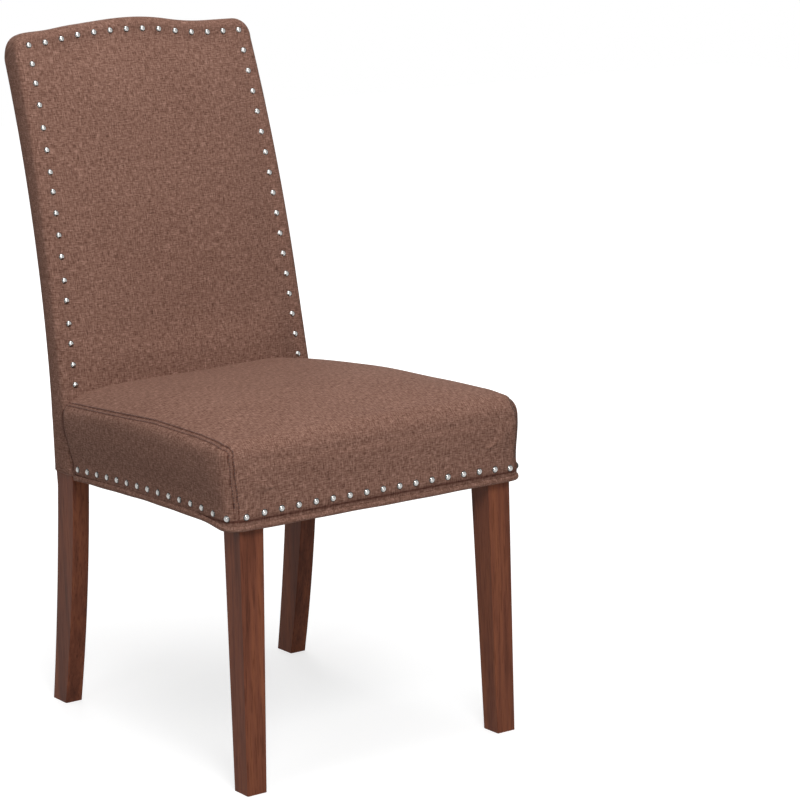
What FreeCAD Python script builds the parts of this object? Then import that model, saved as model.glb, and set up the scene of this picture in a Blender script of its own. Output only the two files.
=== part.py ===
"""Upholstered parsons chair with a camel back, sabre rear posts and nail-head trim.

Millimetres, +Z up, front towards -Y, floor at Z = 0. Depths are written from the front face of the
front legs, and every piece is then moved back by origin_depth, so that the origin lies on the floor
under the middle of the chair.
"""
import FreeCAD, Part
import math
import os

import Sketcher

Vector = FreeCAD.Vector
Rotation = FreeCAD.Rotation
Placement = FreeCAD.Placement

X_AXIS = Vector(1, 0, 0)
Y_AXIS = Vector(0, 1, 0)
Z_AXIS = Vector(0, 0, 1)

os.makedirs("parts", exist_ok=True)
doc = FreeCAD.newDocument("parsons_chair")

# Driving dimensions
SIZES = {
    "origin_depth": 324.9,
    # Rear posts, side view: leg below the knee, stile above it
    "foot_front": 524.5,
    "foot_back": 564.0,
    "knee_height": 343.0,
    "knee_front": 470.5,
    "knee_back": 518.0,
    "leg_front_radius": 2193.0,
    "leg_back_radius": 3440.0,
    "bend_height": 600.0,
    "bend_front": 514.0,
    "rear_bend_height": 460.0,
    "rear_bend": 526.0,
    "post_top": 975.0,
    "post_top_front": 612.5,
    "post_top_back": 652.5,
    "stile_front_radius": 2136.0,
    "stile_back_radius": 1833.0,
    "bevel_height": 948.0,
    "bevel_depth": 16.0,
    # Rear posts, front view
    "post_outer": 214.0,
    "post_thickness": 27.0,
    "lean_start": 440.0,
    "lean_inward": 17.0,
    "edge_easing": 1.2,
    # Front legs
    "leg_outer": 226.0,
    "leg_outer_lean": 3.0,
    "front_foot_width": 30.5,
    "front_foot_depth": 34.0,
    "front_leg_width": 38.5,
    "front_leg_depth": 44.0,
    "front_leg_height": 436.0,
    # Camel back
    "crest_rise": 12.0,
    "crest_radius": 355.0,
    "crest_half": 130.0,
    "crest_rail_low": 905.0,
    "lower_rail_low": 500.0,
    "lower_rail_high": 562.0,
    "lower_rail_depth": 22.0,
    # Seat frame, in the plane of the seat
    "seat_height": 372.0,
    "seat_tilt": 2.3,
    "rail_low": 4.0,
    "rail_high": 70.0,
    "side_rail_thickness": 22.0,
    "front_rail_thickness": 18.0,
    "rail_corner_radius": 10.0,
    "rail_front_half": 234.6,
    "rail_rear_half": 209.9,
    "seat_depth": 475.0,
    "rear_rail_front": 486.0,
    "rear_rail_back": 508.0,
    "block_reach": 56.0,
    "block_width": 40.0,
    "block_low": 18.0,
    "block_high": 58.0,
    # Fasteners
    "bolt_radius": 4.0,
    "washer_radius": 10.0,
    "washer_thickness": 1.6,
    "nut_radius": 7.5,
    "nut_thickness": 6.5,
    "screw_radius": 2.0,
    "screw_length": 34.0,
    "dowel_radius": 5.0,
    "dowel_length": 40.0,
    # Upholstery
    "padding": 6.0,
    "fabric": 2.0,
    "cover_low": 9.0,
    "seam_height": 115.0,
    "seat_corner_radius": 25.0,
    "waterfall_radius": 30.0,
    "top_edge_radius": 7.5,
    "seat_bulge": 3.0,
    "seat_crown": 19.0,
    "seat_crown_rear": 13.0,
    "back_side_padding": 2.5,
    "back_rear_padding": 3.0,
    "back_low": 350.0,
    "back_top": 989.0,
    "back_corner_radius": 22.0,
    "back_edge_radius": 8.0,
    "back_top_radius": 14.0,
    "rear_panel_margin": 31.0,
    "back_crown": 12.0,
    "front_bow": 1.0,
    "welt_proud": 3.5,
    "welt_round": 2.5,
    "webbing_thickness": 1.4,
    "webbing_width": 50.0,
    "dust_thickness": 0.8,
    # Nails
    "nail_radius": 4.8,
    "nail_rise": 2.7,
    "nail_row_height": 18.0,
    "back_nail_margin": 22.0,
    "top_nail_margin": 17.0,
    "lowest_back_nail": 484.0,
}

sheet = doc.addObject("Spreadsheet::Sheet", "Sizes")
for row, (alias, number) in enumerate(SIZES.items(), start=1):
    sheet.set(f"A{row}", alias)
    sheet.set(f"B{row}", str(number))
    sheet.setAlias(f"B{row}", alias)
doc.recompute()


class Length:
    """A size that knows its number and the sheet expression that gives it."""

    def __init__(self, value, text):
        self.value = value
        self.text = text

    def __add__(self, other):
        other = length(other)
        return Length(self.value + other.value, f"({self.text} + {other.text})")

    def __sub__(self, other):
        other = length(other)
        return Length(self.value - other.value, f"({self.text} - {other.text})")

    def __mul__(self, factor):
        return Length(self.value * factor, f"({self.text} * {factor})")


def length(number):
    """A plain number as a Length."""
    if isinstance(number, Length):
        return number
    return Length(float(number), str(number))


def size(alias):
    """The Length of a named cell."""
    return Length(float(sheet.get(alias)), f"Sizes.{alias}")


def value(alias):
    """The plain number of a named cell."""
    return float(sheet.get(alias))


def between(start, end, share):
    """Linear step from start to end."""
    return start + (end - start) * share


# Placements: world pieces move back to the origin, seat pieces also tilt with the seat

def place_world(item, x=None):
    item.setExpression("Placement.Base.y", "-Sizes.origin_depth")
    if x is not None:
        item.setExpression("Placement.Base.x", x.text)


def place_seat(item):
    item.Placement = Placement(Vector(0, 0, 0), Rotation(X_AXIS, -value("seat_tilt")))
    item.setExpression("Placement.Base.y", "-Sizes.origin_depth")
    item.setExpression("Placement.Base.z", "Sizes.seat_height")
    item.setExpression("Placement.Rotation.Angle", "Sizes.seat_tilt")
    item.Placement.Rotation.Axis = Vector(-1, 0, 0)


WORLD = Placement(Vector(0, -value("origin_depth"), 0), Rotation())
SEAT = Placement(Vector(0, -value("origin_depth"), value("seat_height")), Rotation(X_AXIS, -value("seat_tilt")))


# Sketches and bodies

def turning_arc(start, end, radius):
    """Arc from start to end; a positive radius turns left on the way, a negative one right."""
    chord = end - start
    half = chord.Length / 2
    side = Vector(-chord.y, chord.x, 0).normalize() * math.copysign(1, radius)
    centre = (start + end) * 0.5 + side * math.sqrt(radius * radius - half * half)
    first, last = (start, end) if radius > 0 else (end, start)
    low = math.atan2(first.y - centre.y, first.x - centre.x)
    high = math.atan2(last.y - centre.y, last.x - centre.x)
    if high < low:
        high += 2 * math.pi
    return Part.ArcOfCircle(Part.Circle(centre, Z_AXIS, abs(radius)), low, high)


def draw(sketch, corners):
    """Closed outline. A corner is (across, up), or (across, up, radius) when an arc leads to it."""
    count = len(corners)
    points = [Vector(length(c[0]).value, length(c[1]).value, 0) for c in corners]
    starts = []
    ends = []
    for index in range(count):
        after = (index + 1) % count
        forward = True
        if len(corners[after]) > 2:
            bend = corners[after][2]
            forward = bend.value > 0
            arc = turning_arc(points[index], points[after], bend.value)
            edge = sketch.addGeometry(arc, False)
            datum = sketch.addConstraint(Sketcher.Constraint("Radius", edge, abs(bend.value)))
            sketch.setExpression(f"Constraints[{datum}]", f"abs({bend.text})")
        else:
            edge = sketch.addGeometry(Part.LineSegment(points[index], points[after]), False)
        starts.append((edge, 1 if forward else 2))
        ends.append((edge, 2 if forward else 1))
    for index in range(count):
        edge, start = starts[index]
        before = ends[index - 1]
        sketch.addConstraint(Sketcher.Constraint("Coincident", before[0], before[1], edge, start))
        for kind, coordinate in (("DistanceX", corners[index][0]), ("DistanceY", corners[index][1])):
            coordinate = length(coordinate)
            datum = sketch.addConstraint(Sketcher.Constraint(kind, edge, start, coordinate.value))
            sketch.setExpression(f"Constraints[{datum}]", coordinate.text)


def add_sketch(body, name, role, outlines, offset=None):
    """Sketch of one or more closed outlines on the body's own origin plane."""
    plane = [item for item in body.Origin.OriginFeatures if item.Role == role][0]
    sketch = body.newObject("Sketcher::SketchObject", name)
    sketch.AttachmentSupport = [(plane, "")]
    sketch.MapMode = "FlatFace"
    if offset is not None:
        sketch.AttachmentOffset = Placement(Vector(0, 0, offset.value), Rotation())
        sketch.setExpression("AttachmentOffset.Base.z", offset.text)
    for corners in outlines:
        draw(sketch, corners)
    return sketch


def add_pad(body, name, sketch, distance, symmetric=False, reverse=False):
    pad = body.newObject("PartDesign::Pad", name)
    pad.Profile = sketch
    pad.Length = distance.value
    pad.setExpression("Length", distance.text)
    if symmetric:
        pad.SideType = "Symmetric"
    pad.Reversed = reverse
    return pad


def add_saw_cut(body, name, outlines):
    """Cut through the whole body along front-view outlines."""
    sketch = add_sketch(body, name + "_outline", "XZ_Plane", outlines)
    pocket = body.newObject("PartDesign::Pocket", name)
    pocket.Profile = sketch
    pocket.SideType = "Symmetric"
    pocket.Type = "ThroughAll"
    return pocket


def add_trim(body, name, outline):
    """Saw away all that lies outside a front-view outline."""
    reach = 1200
    frame = [(-reach, -reach), (reach, -reach), (reach, reach), (-reach, reach)]
    return add_saw_cut(body, name, [frame, outline])


def new_body(name):
    return doc.addObject("PartDesign::Body", name)


def dress_edges(body, kind, amount, name, number, chosen):
    """Fillet or chamfer the edges that the test picks."""
    doc.recompute()
    solid = body.Tip
    edges = [f"Edge{i}" for i, edge in enumerate(solid.Shape.Edges, start=1) if chosen(edge)]
    dressed = body.newObject(kind, name)
    dressed.Base = (solid, edges)
    setattr(dressed, amount, number.value)
    dressed.setExpression(amount, number.text)
    return dressed


def round_edges(body, name, radius, chosen):
    return dress_edges(body, "PartDesign::Fillet", "Radius", name, radius, chosen)


def plane_edges(body, name, width, chosen):
    return dress_edges(body, "PartDesign::Chamfer", "Size", name, width, chosen)


parts = {}


def keep(node, item):
    """Register a finished sub-part under its own label."""
    item.Label = node
    parts[node] = item
    return item


def shape_feature(node, shape, placement=None, label=None):
    """A form made with Part's own functions, placed after its shape is set."""
    item = doc.addObject("Part::Feature", node)
    item.Shape = shape
    if placement is not None:
        item.Placement = placement
    item.Label = label or node
    return item


def group(name, items):
    bundle = doc.addObject("Part::Compound", name)
    bundle.Links = items
    return bundle


def cut(name, base, tools):
    """Base with every tool taken out of it."""
    result = base
    for number, tool in enumerate(tools, start=1):
        step = doc.addObject("Part::Cut", f"{name}_cut_{number}")
        step.Base = result
        step.Tool = tool
        result = step
    return result


# Side view of a rear post

def depth_on_arc(low, high, radius, height):
    """Depth at a height on the arc from low to high that hollows towards the front."""
    chord = high - low
    half = chord.Length / 2
    behind = Vector(chord.y, -chord.x, 0).normalize()
    centre = (low + high) * 0.5 + behind * math.sqrt(radius * radius - half * half)
    rise = height - centre.y
    return centre.x - math.sqrt(radius * radius - rise * rise)


def stile_front(height):
    """Depth of the stile's front edge at a height."""
    bend = Vector(SIZES["bend_front"], SIZES["bend_height"], 0)
    if height <= bend.y:
        share = (height - SIZES["knee_height"]) / (bend.y - SIZES["knee_height"])
        return between(SIZES["knee_front"], bend.x, share)
    top = Vector(SIZES["post_top_front"], SIZES["post_top"], 0)
    return depth_on_arc(bend, top, SIZES["stile_front_radius"], height)


def stile_back(height):
    """Depth of the stile's back edge at a height."""
    bend = Vector(SIZES["rear_bend"], SIZES["rear_bend_height"], 0)
    if height <= bend.y:
        share = (height - SIZES["knee_height"]) / (bend.y - SIZES["knee_height"])
        return between(SIZES["knee_back"], bend.x, share)
    top = Vector(SIZES["post_top_back"], SIZES["post_top"] - 4, 0)
    return depth_on_arc(bend, top, SIZES["stile_back_radius"], height)


def bevel_start():
    """Depth where the back edge ends and the bevel of the top rear edge begins."""
    return length(round(stile_back(SIZES["bevel_height"]), 4))


def stile_side(low_front, low_back, low_height):
    """Side outline of the upholstered stile, from a given height to the post's top."""
    return [
        (low_back, low_height),
        (size("rear_bend"), size("rear_bend_height")),
        (bevel_start(), size("bevel_height"), size("stile_back_radius") * -1),
        (size("post_top_back") - size("bevel_depth"), size("post_top")),
        (size("post_top_front"), size("post_top")),
        (size("bend_front"), size("bend_height"), size("stile_front_radius")),
        (low_front, low_height),
    ]


def post_side(spare):
    """Side outline of the whole post: sabre leg, knee and leaning stile, with spare length below the floor."""
    leg = [
        (size("foot_front") + spare * 0.24, -spare),
        (size("foot_back") + spare * 0.19, -spare),
        (size("knee_back"), size("knee_height"), size("leg_back_radius") * -1),
    ]
    stile = stile_side(size("knee_front"), size("knee_back"), size("knee_height"))
    outline = leg + stile[1:6]
    knee = (size("knee_front"), size("knee_height"))
    start = (size("foot_front") + spare * 0.24, -spare, size("leg_front_radius"))
    return [start] + outline[1:] + [knee]


def rear_post():
    """Right post: a plank sawn to the side outline, then sawn again to lean inward above the seat."""
    body = new_body("rear_post_plank")
    place_world(body, size("post_outer"))
    margin = 5
    outline = add_sketch(body, "post_side", "YZ_Plane", [post_side(margin)])
    add_pad(body, "post_pad", outline, size("post_thickness") + size("lean_inward"), reverse=True)
    thick = size("post_thickness") * -1
    lean = size("lean_inward") * -1
    front = [
        (0, -margin * 2),
        (0, size("lean_start")),
        (lean, size("post_top") + margin),
        (lean + thick, size("post_top") + margin),
        (thick, size("lean_start")),
        (thick, -margin * 2),
    ]
    add_trim(body, "post_trim", front)

    def long_leg_edge(edge):
        box = edge.BoundBox
        return box.ZLength > 300 and box.ZMax < 350 and box.XLength < 0.1

    plane_edges(body, "post_easing", size("edge_easing"), long_leg_edge)
    below = margin * 4
    add_saw_cut(body, "floor_cut", [[(-below * 3, -below), (below, -below), (below, 0), (-below * 3, 0)]])
    return body


def front_leg():
    """Right front leg: square, sawn to taper towards the floor, its outer face almost upright."""
    body = new_body("front_leg_blank")
    place_world(body, size("leg_outer"))
    top = size("front_leg_height")
    profile = [(0, 0), (size("front_foot_depth"), 0), (size("front_leg_depth"), top), (0, top)]
    outline = add_sketch(body, "leg_side", "YZ_Plane", [profile])
    lean = size("leg_outer_lean")
    add_pad(body, "leg_pad", outline, size("front_leg_width") + lean, reverse=True)
    outer = lean * -1
    inner = (lean + size("front_leg_width")) * -1
    foot = size("front_foot_width") * -1
    margin = 5
    front = [
        (0, -margin),
        (0, 0),
        (outer, top),
        (outer, top + margin),
        (inner, top + margin),
        (inner, top),
        (foot, 0),
        (foot, -margin),
    ]
    add_trim(body, "leg_trim", front)
    plane_edges(body, "leg_easing", size("edge_easing"), lambda edge: edge.BoundBox.ZLength > 300)
    return body


def mirrored(name, source):
    """The left-hand twin of a right-hand piece."""
    twin = doc.addObject("Part::Mirroring", name)
    twin.Source = source
    twin.Normal = X_AXIS
    return twin


def leg_shoulder():
    """Space of the front rail and all in front of it, which the top of each front leg leaves free."""
    item = doc.addObject("Part::Box", "shoulder")
    place_seat(item)
    ahead = 30
    item.setExpression("Length", "Sizes.rail_front_half * 2")
    item.setExpression("Width", f"Sizes.front_rail_thickness + {ahead}")
    item.setExpression("Height", "Sizes.rail_high * 2")
    item.setExpression("Placement.Base.x", "-Sizes.rail_front_half")
    tilt_sine = "sin(Sizes.seat_tilt * 1deg)"
    tilt_cosine = "cos(Sizes.seat_tilt * 1deg)"
    item.setExpression("Placement.Base.y",
                       f"-Sizes.origin_depth - {ahead} * {tilt_cosine} + Sizes.rail_low * {tilt_sine}")
    item.setExpression("Placement.Base.z",
                       f"Sizes.seat_height + Sizes.rail_low * {tilt_cosine} + {ahead} * {tilt_sine}")
    return item


post_right = rear_post()
post_left = mirrored("rear_post_twin", post_right)
leg_right = front_leg()
leg_left = mirrored("front_leg_twin", leg_right)
shoulder = leg_shoulder()


# Seat rails, in the plane of the seat

def rail_outer(depth):
    """Half width over the side rails at a depth, as a Length."""
    taper = (SIZES["rail_front_half"] - SIZES["rail_rear_half"]) / SIZES["seat_depth"]
    text = f"(Sizes.rail_front_half - (Sizes.rail_front_half - Sizes.rail_rear_half) * {depth} / Sizes.seat_depth)"
    return Length(SIZES["rail_front_half"] - taper * depth, text)


def seat_board(name, corners, low, high):
    """Board of a plan outline that stands between two heights of the seat frame."""
    body = new_body(name)
    place_seat(body)
    sketch = add_sketch(body, name + "_plan", "XY_Plane", [corners], low)
    add_pad(body, name + "_pad", sketch, high - low)
    return body


def side_rail():
    """Right side rail, rounded at its front corner where the leg meets the front rail."""
    end = 483
    wide = size("side_rail_thickness")
    corners = [
        (rail_outer(0), 0),
        (rail_outer(end), end),
        (rail_outer(end) - wide, end),
        (rail_outer(0) - wide, 0),
    ]
    body = seat_board("side_rail_board", corners, size("rail_low"), size("rail_high"))

    def front_corner(edge):
        box = edge.BoundBox
        upright = box.XLength < 0.1 and box.ZLength > 30
        return upright and box.YMax < 20 and box.XMax > SIZES["rail_front_half"] - 1

    round_edges(body, "side_rail_corner", size("rail_corner_radius"), front_corner)
    return body


def cross_rail(name, front, back, front_half, back_half):
    corners = [
        (front_half * -1, front),
        (front_half, front),
        (back_half, back),
        (back_half * -1, back),
    ]
    return seat_board(name, corners, size("rail_low"), size("rail_high"))


rail_right = side_rail()
rail_left = mirrored("side_rail_twin", rail_right)
inner_front = rail_outer(0) - size("side_rail_thickness")
inner_back = rail_outer(SIZES["front_rail_thickness"]) - size("side_rail_thickness")
rail_front = cross_rail("front_rail", length(0), size("front_rail_thickness"), inner_front, inner_back)
post_inner = size("post_outer") - size("post_thickness")
rail_rear = cross_rail("rear_rail", size("rear_rail_front"), size("rear_rail_back"), post_inner, post_inner)


# Corner blocks: slanting braces across the four corners of the seat frame

def corner_block(side, front):
    hand = ("front" if front else "rear") + ("_right" if side > 0 else "_left")
    wall = size("front_rail_thickness") if front else size("rear_rail_front")
    step = 1 if front else -1
    reach = SIZES["block_reach"]
    width = SIZES["block_width"]
    start = wall.value
    along = [start + step * reach, start + step * (reach + width)]
    wood = size("side_rail_thickness")
    corner_half = rail_outer(start) - wood
    corners = [
        ((corner_half - reach) * side, wall),
        ((rail_outer(along[0]) - wood) * side, along[0]),
        ((rail_outer(along[1]) - wood) * side, along[1]),
        ((corner_half - (reach + width)) * side, wall),
    ]
    return seat_board(f"block_{hand}", corners, size("block_low"), size("block_high"))


CORNERS = [(side, front) for front in (True, False) for side in (-1, 1)]


def corner_name(side, front):
    return ("front" if front else "rear") + ("_right" if side > 0 else "_left")


blocks = {corner_name(*corner): corner_block(*corner) for corner in CORNERS}


# Fasteners

def rod(name, radius, reach, base, direction, frame, sides=8):
    """Faceted rod from a base point along a direction, in the world or the seat frame."""
    item = doc.addObject("Part::Prism", name)
    item.Polygon = sides
    item.setExpression("Circumradius", radius.text)
    item.setExpression("Height", length(reach).text)
    item.Placement = frame.multiply(Placement(base, Rotation(Z_AXIS, direction)))
    return item


block_middle = (SIZES["block_low"] + SIZES["block_high"]) / 2
bolts = []
washers = []
nuts = []
for side in (-1, 1):
    hand = "right" if side > 0 else "left"
    wall = SIZES["front_rail_thickness"]
    across = SIZES["block_reach"] + SIZES["block_width"]
    corner = Vector(inner_back.value, wall, block_middle)
    front_end = corner - X_AXIS * across
    side_end = Vector(rail_outer(wall + across).value - SIZES["side_rail_thickness"], wall + across, block_middle)
    run = side_end - front_end
    inward = Vector(-run.y, run.x, 0).normalize()
    block_face = (front_end - corner).dot(inward)
    corner.x *= side
    inward.x *= side
    bolt_start = 20.0
    bolt_end = block_face + SIZES["washer_thickness"] + SIZES["nut_thickness"] + 4
    bolts.append(rod(f"bolt_{hand}", size("bolt_radius"), bolt_end - bolt_start,
                     corner + inward * bolt_start, inward, SEAT))
    face = corner + inward * block_face
    disc = rod(f"washer_disc_{hand}", size("washer_radius"), size("washer_thickness"), face, inward, SEAT, 16)
    washers.append(cut(f"washer_{hand}", disc, [bolts[-1]]))
    seat_of_nut = face + inward * SIZES["washer_thickness"]
    nut = rod(f"nut_prism_{hand}", size("nut_radius"), size("nut_thickness"), seat_of_nut, inward, SEAT, 6)
    nuts.append(cut(f"nut_{hand}", nut, [bolts[-1]]))

screws = []
for side, front in CORNERS:
    name = corner_name(side, front)
    wall = SIZES["front_rail_thickness"] if front else SIZES["rear_rail_front"]
    step = 1 if front else -1
    middle = SIZES["block_reach"] + SIZES["block_width"] / 2
    half = rail_outer(wall).value - SIZES["side_rail_thickness"]
    into_cross = Vector(side * (half - middle), wall + step * 20, block_middle)
    depth = wall + step * middle
    inner = rail_outer(depth).value - SIZES["side_rail_thickness"]
    into_side = Vector(side * (inner - 20), depth, block_middle)
    screws.append(rod(f"screw_{name}_cross", size("screw_radius"), size("screw_length"), into_cross,
                      Vector(0, -step, 0), SEAT, 6))
    screws.append(rod(f"screw_{name}_side", size("screw_radius"), size("screw_length"), into_side,
                      Vector(side, 0, 0), SEAT, 6))


def post_half(height):
    """Half width over the posts at a height."""
    start = SIZES["lean_start"]
    if height <= start:
        return SIZES["post_outer"]
    return SIZES["post_outer"] - SIZES["lean_inward"] * (height - start) / (SIZES["post_top"] + 5 - start)


dowels = []
dowel_heights = {
    "seat": [SIZES["seat_height"], SIZES["seat_height"] + 26],
    "lower": [SIZES["lower_rail_low"] + 16, SIZES["lower_rail_high"] - 16],
    "crest": [SIZES["crest_rail_low"] + 16, SIZES["post_top"] - 18],
}
dowel_inset = 11.0
for side in (-1, 1):
    hand = "right" if side > 0 else "left"
    for rail, heights in dowel_heights.items():
        for number, height in enumerate(heights, start=1):
            depth = SIZES["rear_rail_front"] + 14 if rail == "seat" else stile_front(height) + dowel_inset
            base = Vector(side * (post_half(height) - SIZES["post_thickness"] - 20), depth, height)
            dowels.append(rod(f"dowel_{rail}_{hand}_{number}", size("dowel_radius"), size("dowel_length"),
                              base, Vector(side, 0, 0), WORLD))
    for number, height in enumerate((20.0, 50.0), start=1):
        start = 452.0
        x = side * (rail_outer(start).value - SIZES["side_rail_thickness"] / 2)
        dowels.append(rod(f"dowel_side_{hand}_{number}", size("dowel_radius"), size("dowel_length"),
                          Vector(x, start, height), Y_AXIS, SEAT))


# Back rails, sawn to the same side outline as the posts

def camel_top(edge_height, half_end):
    """Corners of the camel-back line from the right shoulder to the left, level at both ends."""
    half = size("crest_half")
    rise = size("crest_rise")
    bend = size("crest_radius")
    return [
        (half_end, edge_height),
        (half, edge_height),
        (half * 0.5, edge_height + rise * 0.5, bend * -1),
        (half * -0.5, edge_height + rise * 0.5, bend),
        (half * -1, edge_height, bend * -1),
        (half_end * -1, edge_height),
    ]


def crest_rail():
    """Top rail between the posts, its upper edge sawn to the camel back."""
    body = new_body("crest_rail_plank")
    place_world(body)
    front_low = Length(stile_front(SIZES["crest_rail_low"]), str(stile_front(SIZES["crest_rail_low"])))
    back_low = Length(stile_back(SIZES["crest_rail_low"]), str(stile_back(SIZES["crest_rail_low"])))
    rise = size("crest_rise") + 2
    outline = [
        (front_low, size("crest_rail_low"), size("stile_front_radius")),
        (back_low, size("crest_rail_low")),
        (bevel_start(), size("bevel_height"), size("stile_back_radius") * -1),
        (size("post_top_back") - size("bevel_depth"), size("post_top")),
        (size("post_top_back") - size("bevel_depth"), size("post_top") + rise),
        (size("post_top_front") + 4, size("post_top") + rise),
        (size("post_top_front"), size("post_top")),
    ]
    sketch = add_sketch(body, "crest_side", "YZ_Plane", [outline])
    add_pad(body, "crest_pad", sketch, size("post_outer") * 2, symmetric=True)
    thick = SIZES["post_thickness"]
    half_top = post_half(SIZES["post_top"]) - thick
    half_low = post_half(SIZES["crest_rail_low"]) - thick
    front = camel_top(size("post_top"), length(half_top))
    front += [(-half_low, size("crest_rail_low")), (half_low, size("crest_rail_low"))]
    add_trim(body, "crest_trim", front)
    return body


def lower_back_rail():
    """Rail between the posts just above the seat, where the back straps and covers are fixed."""
    body = new_body("lower_rail_plank")
    place_world(body)
    low = SIZES["lower_rail_low"]
    high = SIZES["lower_rail_high"]
    deep = size("lower_rail_depth")
    outline = [
        (stile_front(low), size("lower_rail_low")),
        (deep + stile_front(low), size("lower_rail_low")),
        (deep + stile_front(high), size("lower_rail_high")),
        (stile_front(high), size("lower_rail_high")),
    ]
    sketch = add_sketch(body, "lower_rail_side", "YZ_Plane", [outline])
    add_pad(body, "lower_rail_pad", sketch, size("post_outer") * 2, symmetric=True)
    thick = SIZES["post_thickness"]
    half_low = post_half(low) - thick
    half_high = post_half(high) - thick
    front = [(-half_low, size("lower_rail_low")), (half_low, size("lower_rail_low")),
             (half_high, size("lower_rail_high")), (-half_high, size("lower_rail_high"))]
    add_trim(body, "lower_rail_trim", front)
    return body


crest = crest_rail()
lower_rail = lower_back_rail()


# Webbing

def strap_levels(count, first):
    """Over and under levels of one strap at each crossing, starting over or under."""
    return [first * (-1) ** index for index in range(count)]


def woven_strap(stations, levels, start, end, across, turned):
    """Strap that passes over and under the straps it crosses, as one closed ribbon."""
    thick = SIZES["webbing_thickness"]
    half = SIZES["webbing_width"] / 2 + 3
    bearing = 21.0
    middle = SIZES["rail_high"] + thick / 2
    line = [(start, middle), (start + bearing, middle)]
    for station, level in zip(stations, levels):
        height = middle + level * thick / 2
        line.append((station - half, height))
        line.append((station + half, height))
    line += [(end - bearing, middle), (end, middle)]
    upper = [Vector(0, run, height + thick / 2) for run, height in line]
    lower = [Vector(0, run, height - thick / 2) for run, height in reversed(line)]
    ribbon = Part.Face(Part.makePolygon(upper + lower + upper[:1]))
    solid = ribbon.extrude(X_AXIS * SIZES["webbing_width"])
    solid.translate(X_AXIS * (-SIZES["webbing_width"] / 2))
    if turned:
        solid.rotate(Vector(0, 0, 0), Z_AXIS, -90)
        solid.translate(Vector(0, across, 0))
    else:
        solid.translate(Vector(across, 0, 0))
    return solid


def seat_webbing_shape():
    """Five straps each way in plain weave, fixed on top of the rails."""
    columns = [-148.0, -74.0, 0.0, 74.0, 148.0]
    rows = [80.0, 165.0, 250.0, 335.0, 420.0]
    straps = []
    for index, across in enumerate(columns):
        first = 1 if index % 2 == 0 else -1
        straps.append(woven_strap(rows, strap_levels(len(rows), first), 3, SIZES["rear_rail_back"] - 4, across, False))
    for index, across in enumerate(rows):
        first = -1 if index % 2 == 0 else 1
        half = rail_outer(across).value - 3
        straps.append(woven_strap(columns, strap_levels(len(columns), first), -half, half, across, True))
    return Part.makeCompound(straps)


def back_webbing_shape():
    """Cross straps on the front edges of the posts, each at the slope of the post behind it."""
    straps = []
    for height in (590.0, 655.0, 720.0, 785.0, 850.0):
        rise = 10.0
        slope = math.atan2(stile_front(height + rise) - stile_front(height - rise), 2 * rise)
        half = post_half(height) - 3
        strap = Part.makeBox(half * 2, SIZES["webbing_thickness"], SIZES["webbing_width"],
                             Vector(-half, -SIZES["webbing_thickness"], -SIZES["webbing_width"] / 2))
        strap.rotate(Vector(0, 0, 0), X_AXIS, -math.degrees(slope))
        strap.translate(Vector(0, stile_front(height), height))
        straps.append(strap)
    return Part.makeCompound(straps)


# Upholstery forms: a loft through closed rings, each ring with the same run of lines and arcs

def ring(points, arcs):
    """Closed wire through points; arcs maps the index of an edge to a point half way along it."""
    edges = []
    for index, point in enumerate(points):
        after = points[(index + 1) % len(points)]
        if index in arcs:
            edges.append(Part.Arc(point, arcs[index], after).toShape())
        else:
            edges.append(Part.LineSegment(point, after).toShape())
    return Part.Wire(edges)


def rounded_ring(points, arcs, bends):
    """Ring in which each point named in bends becomes the middle of an arc between its neighbours."""
    kept = [index for index in range(len(points)) if index not in bends]
    middles = {kept.index(index): middle for index, middle in arcs.items()}
    for index in bends:
        middles[kept.index(index - 1)] = points[index]
    return ring([points[index] for index in kept], middles)


def drop(radius, distance):
    """Fall of a round edge at a distance from the end it rounds over."""
    if distance >= radius:
        return 0.0
    return radius - math.sqrt(radius * radius - (radius - distance) ** 2)


def seat_half(depth):
    """Half width of the seat cover's flat side at a depth."""
    return rail_outer(depth).value + SIZES["padding"] + SIZES["fabric"]


def seat_ring(depth, inset):
    """Section of the seat across its width: flat at the nails, bulged above, crowned on top."""
    face = inset - SIZES["padding"] - SIZES["fabric"]
    run = depth - face
    half = seat_half(depth) - inset - drop(SIZES["seat_corner_radius"] - inset, run)
    seam = SIZES["seam_height"] - inset - drop(SIZES["waterfall_radius"] - inset, run)
    low = SIZES["cover_low"]
    edge = SIZES["top_edge_radius"] - inset / 2
    bulge_start = 30.0
    full = 190.0
    share = min(run / full, 1.0)
    crown = SIZES["seat_crown"] * math.sin(share * math.pi / 2)
    if run > full:
        back = (run - full) / (SIZES["seat_depth"] - full)
        crown = between(SIZES["seat_crown"], SIZES["seat_crown_rear"], back * back)
    crown = max(crown, 0.4)
    bulge = SIZES["seat_bulge"] * min(1.0, 0.1 + run / 30)
    shoulder = seam - edge
    side_middle = (bulge_start + shoulder) / 2
    nip = edge * (1 - math.sqrt(0.5))
    right_nip = Vector(half - nip, depth, seam - nip)
    left_nip = Vector(-half + nip, depth, seam - nip)
    points = [
        Vector(-half, depth, low),
        Vector(half, depth, low),
        Vector(half, depth, bulge_start),
        Vector(half, depth, shoulder),
        right_nip,
        Vector(half - edge, depth, seam),
        Vector(-half + edge, depth, seam),
        left_nip,
        Vector(-half, depth, shoulder),
        Vector(-half, depth, bulge_start),
    ]
    arcs = {
        2: Vector(half + bulge, depth, side_middle),
        5: Vector(0, depth, seam + crown),
        8: Vector(-half - bulge, depth, side_middle),
    }
    return ring(points, arcs) if inset else rounded_ring(points, arcs, (4, 7))


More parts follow.
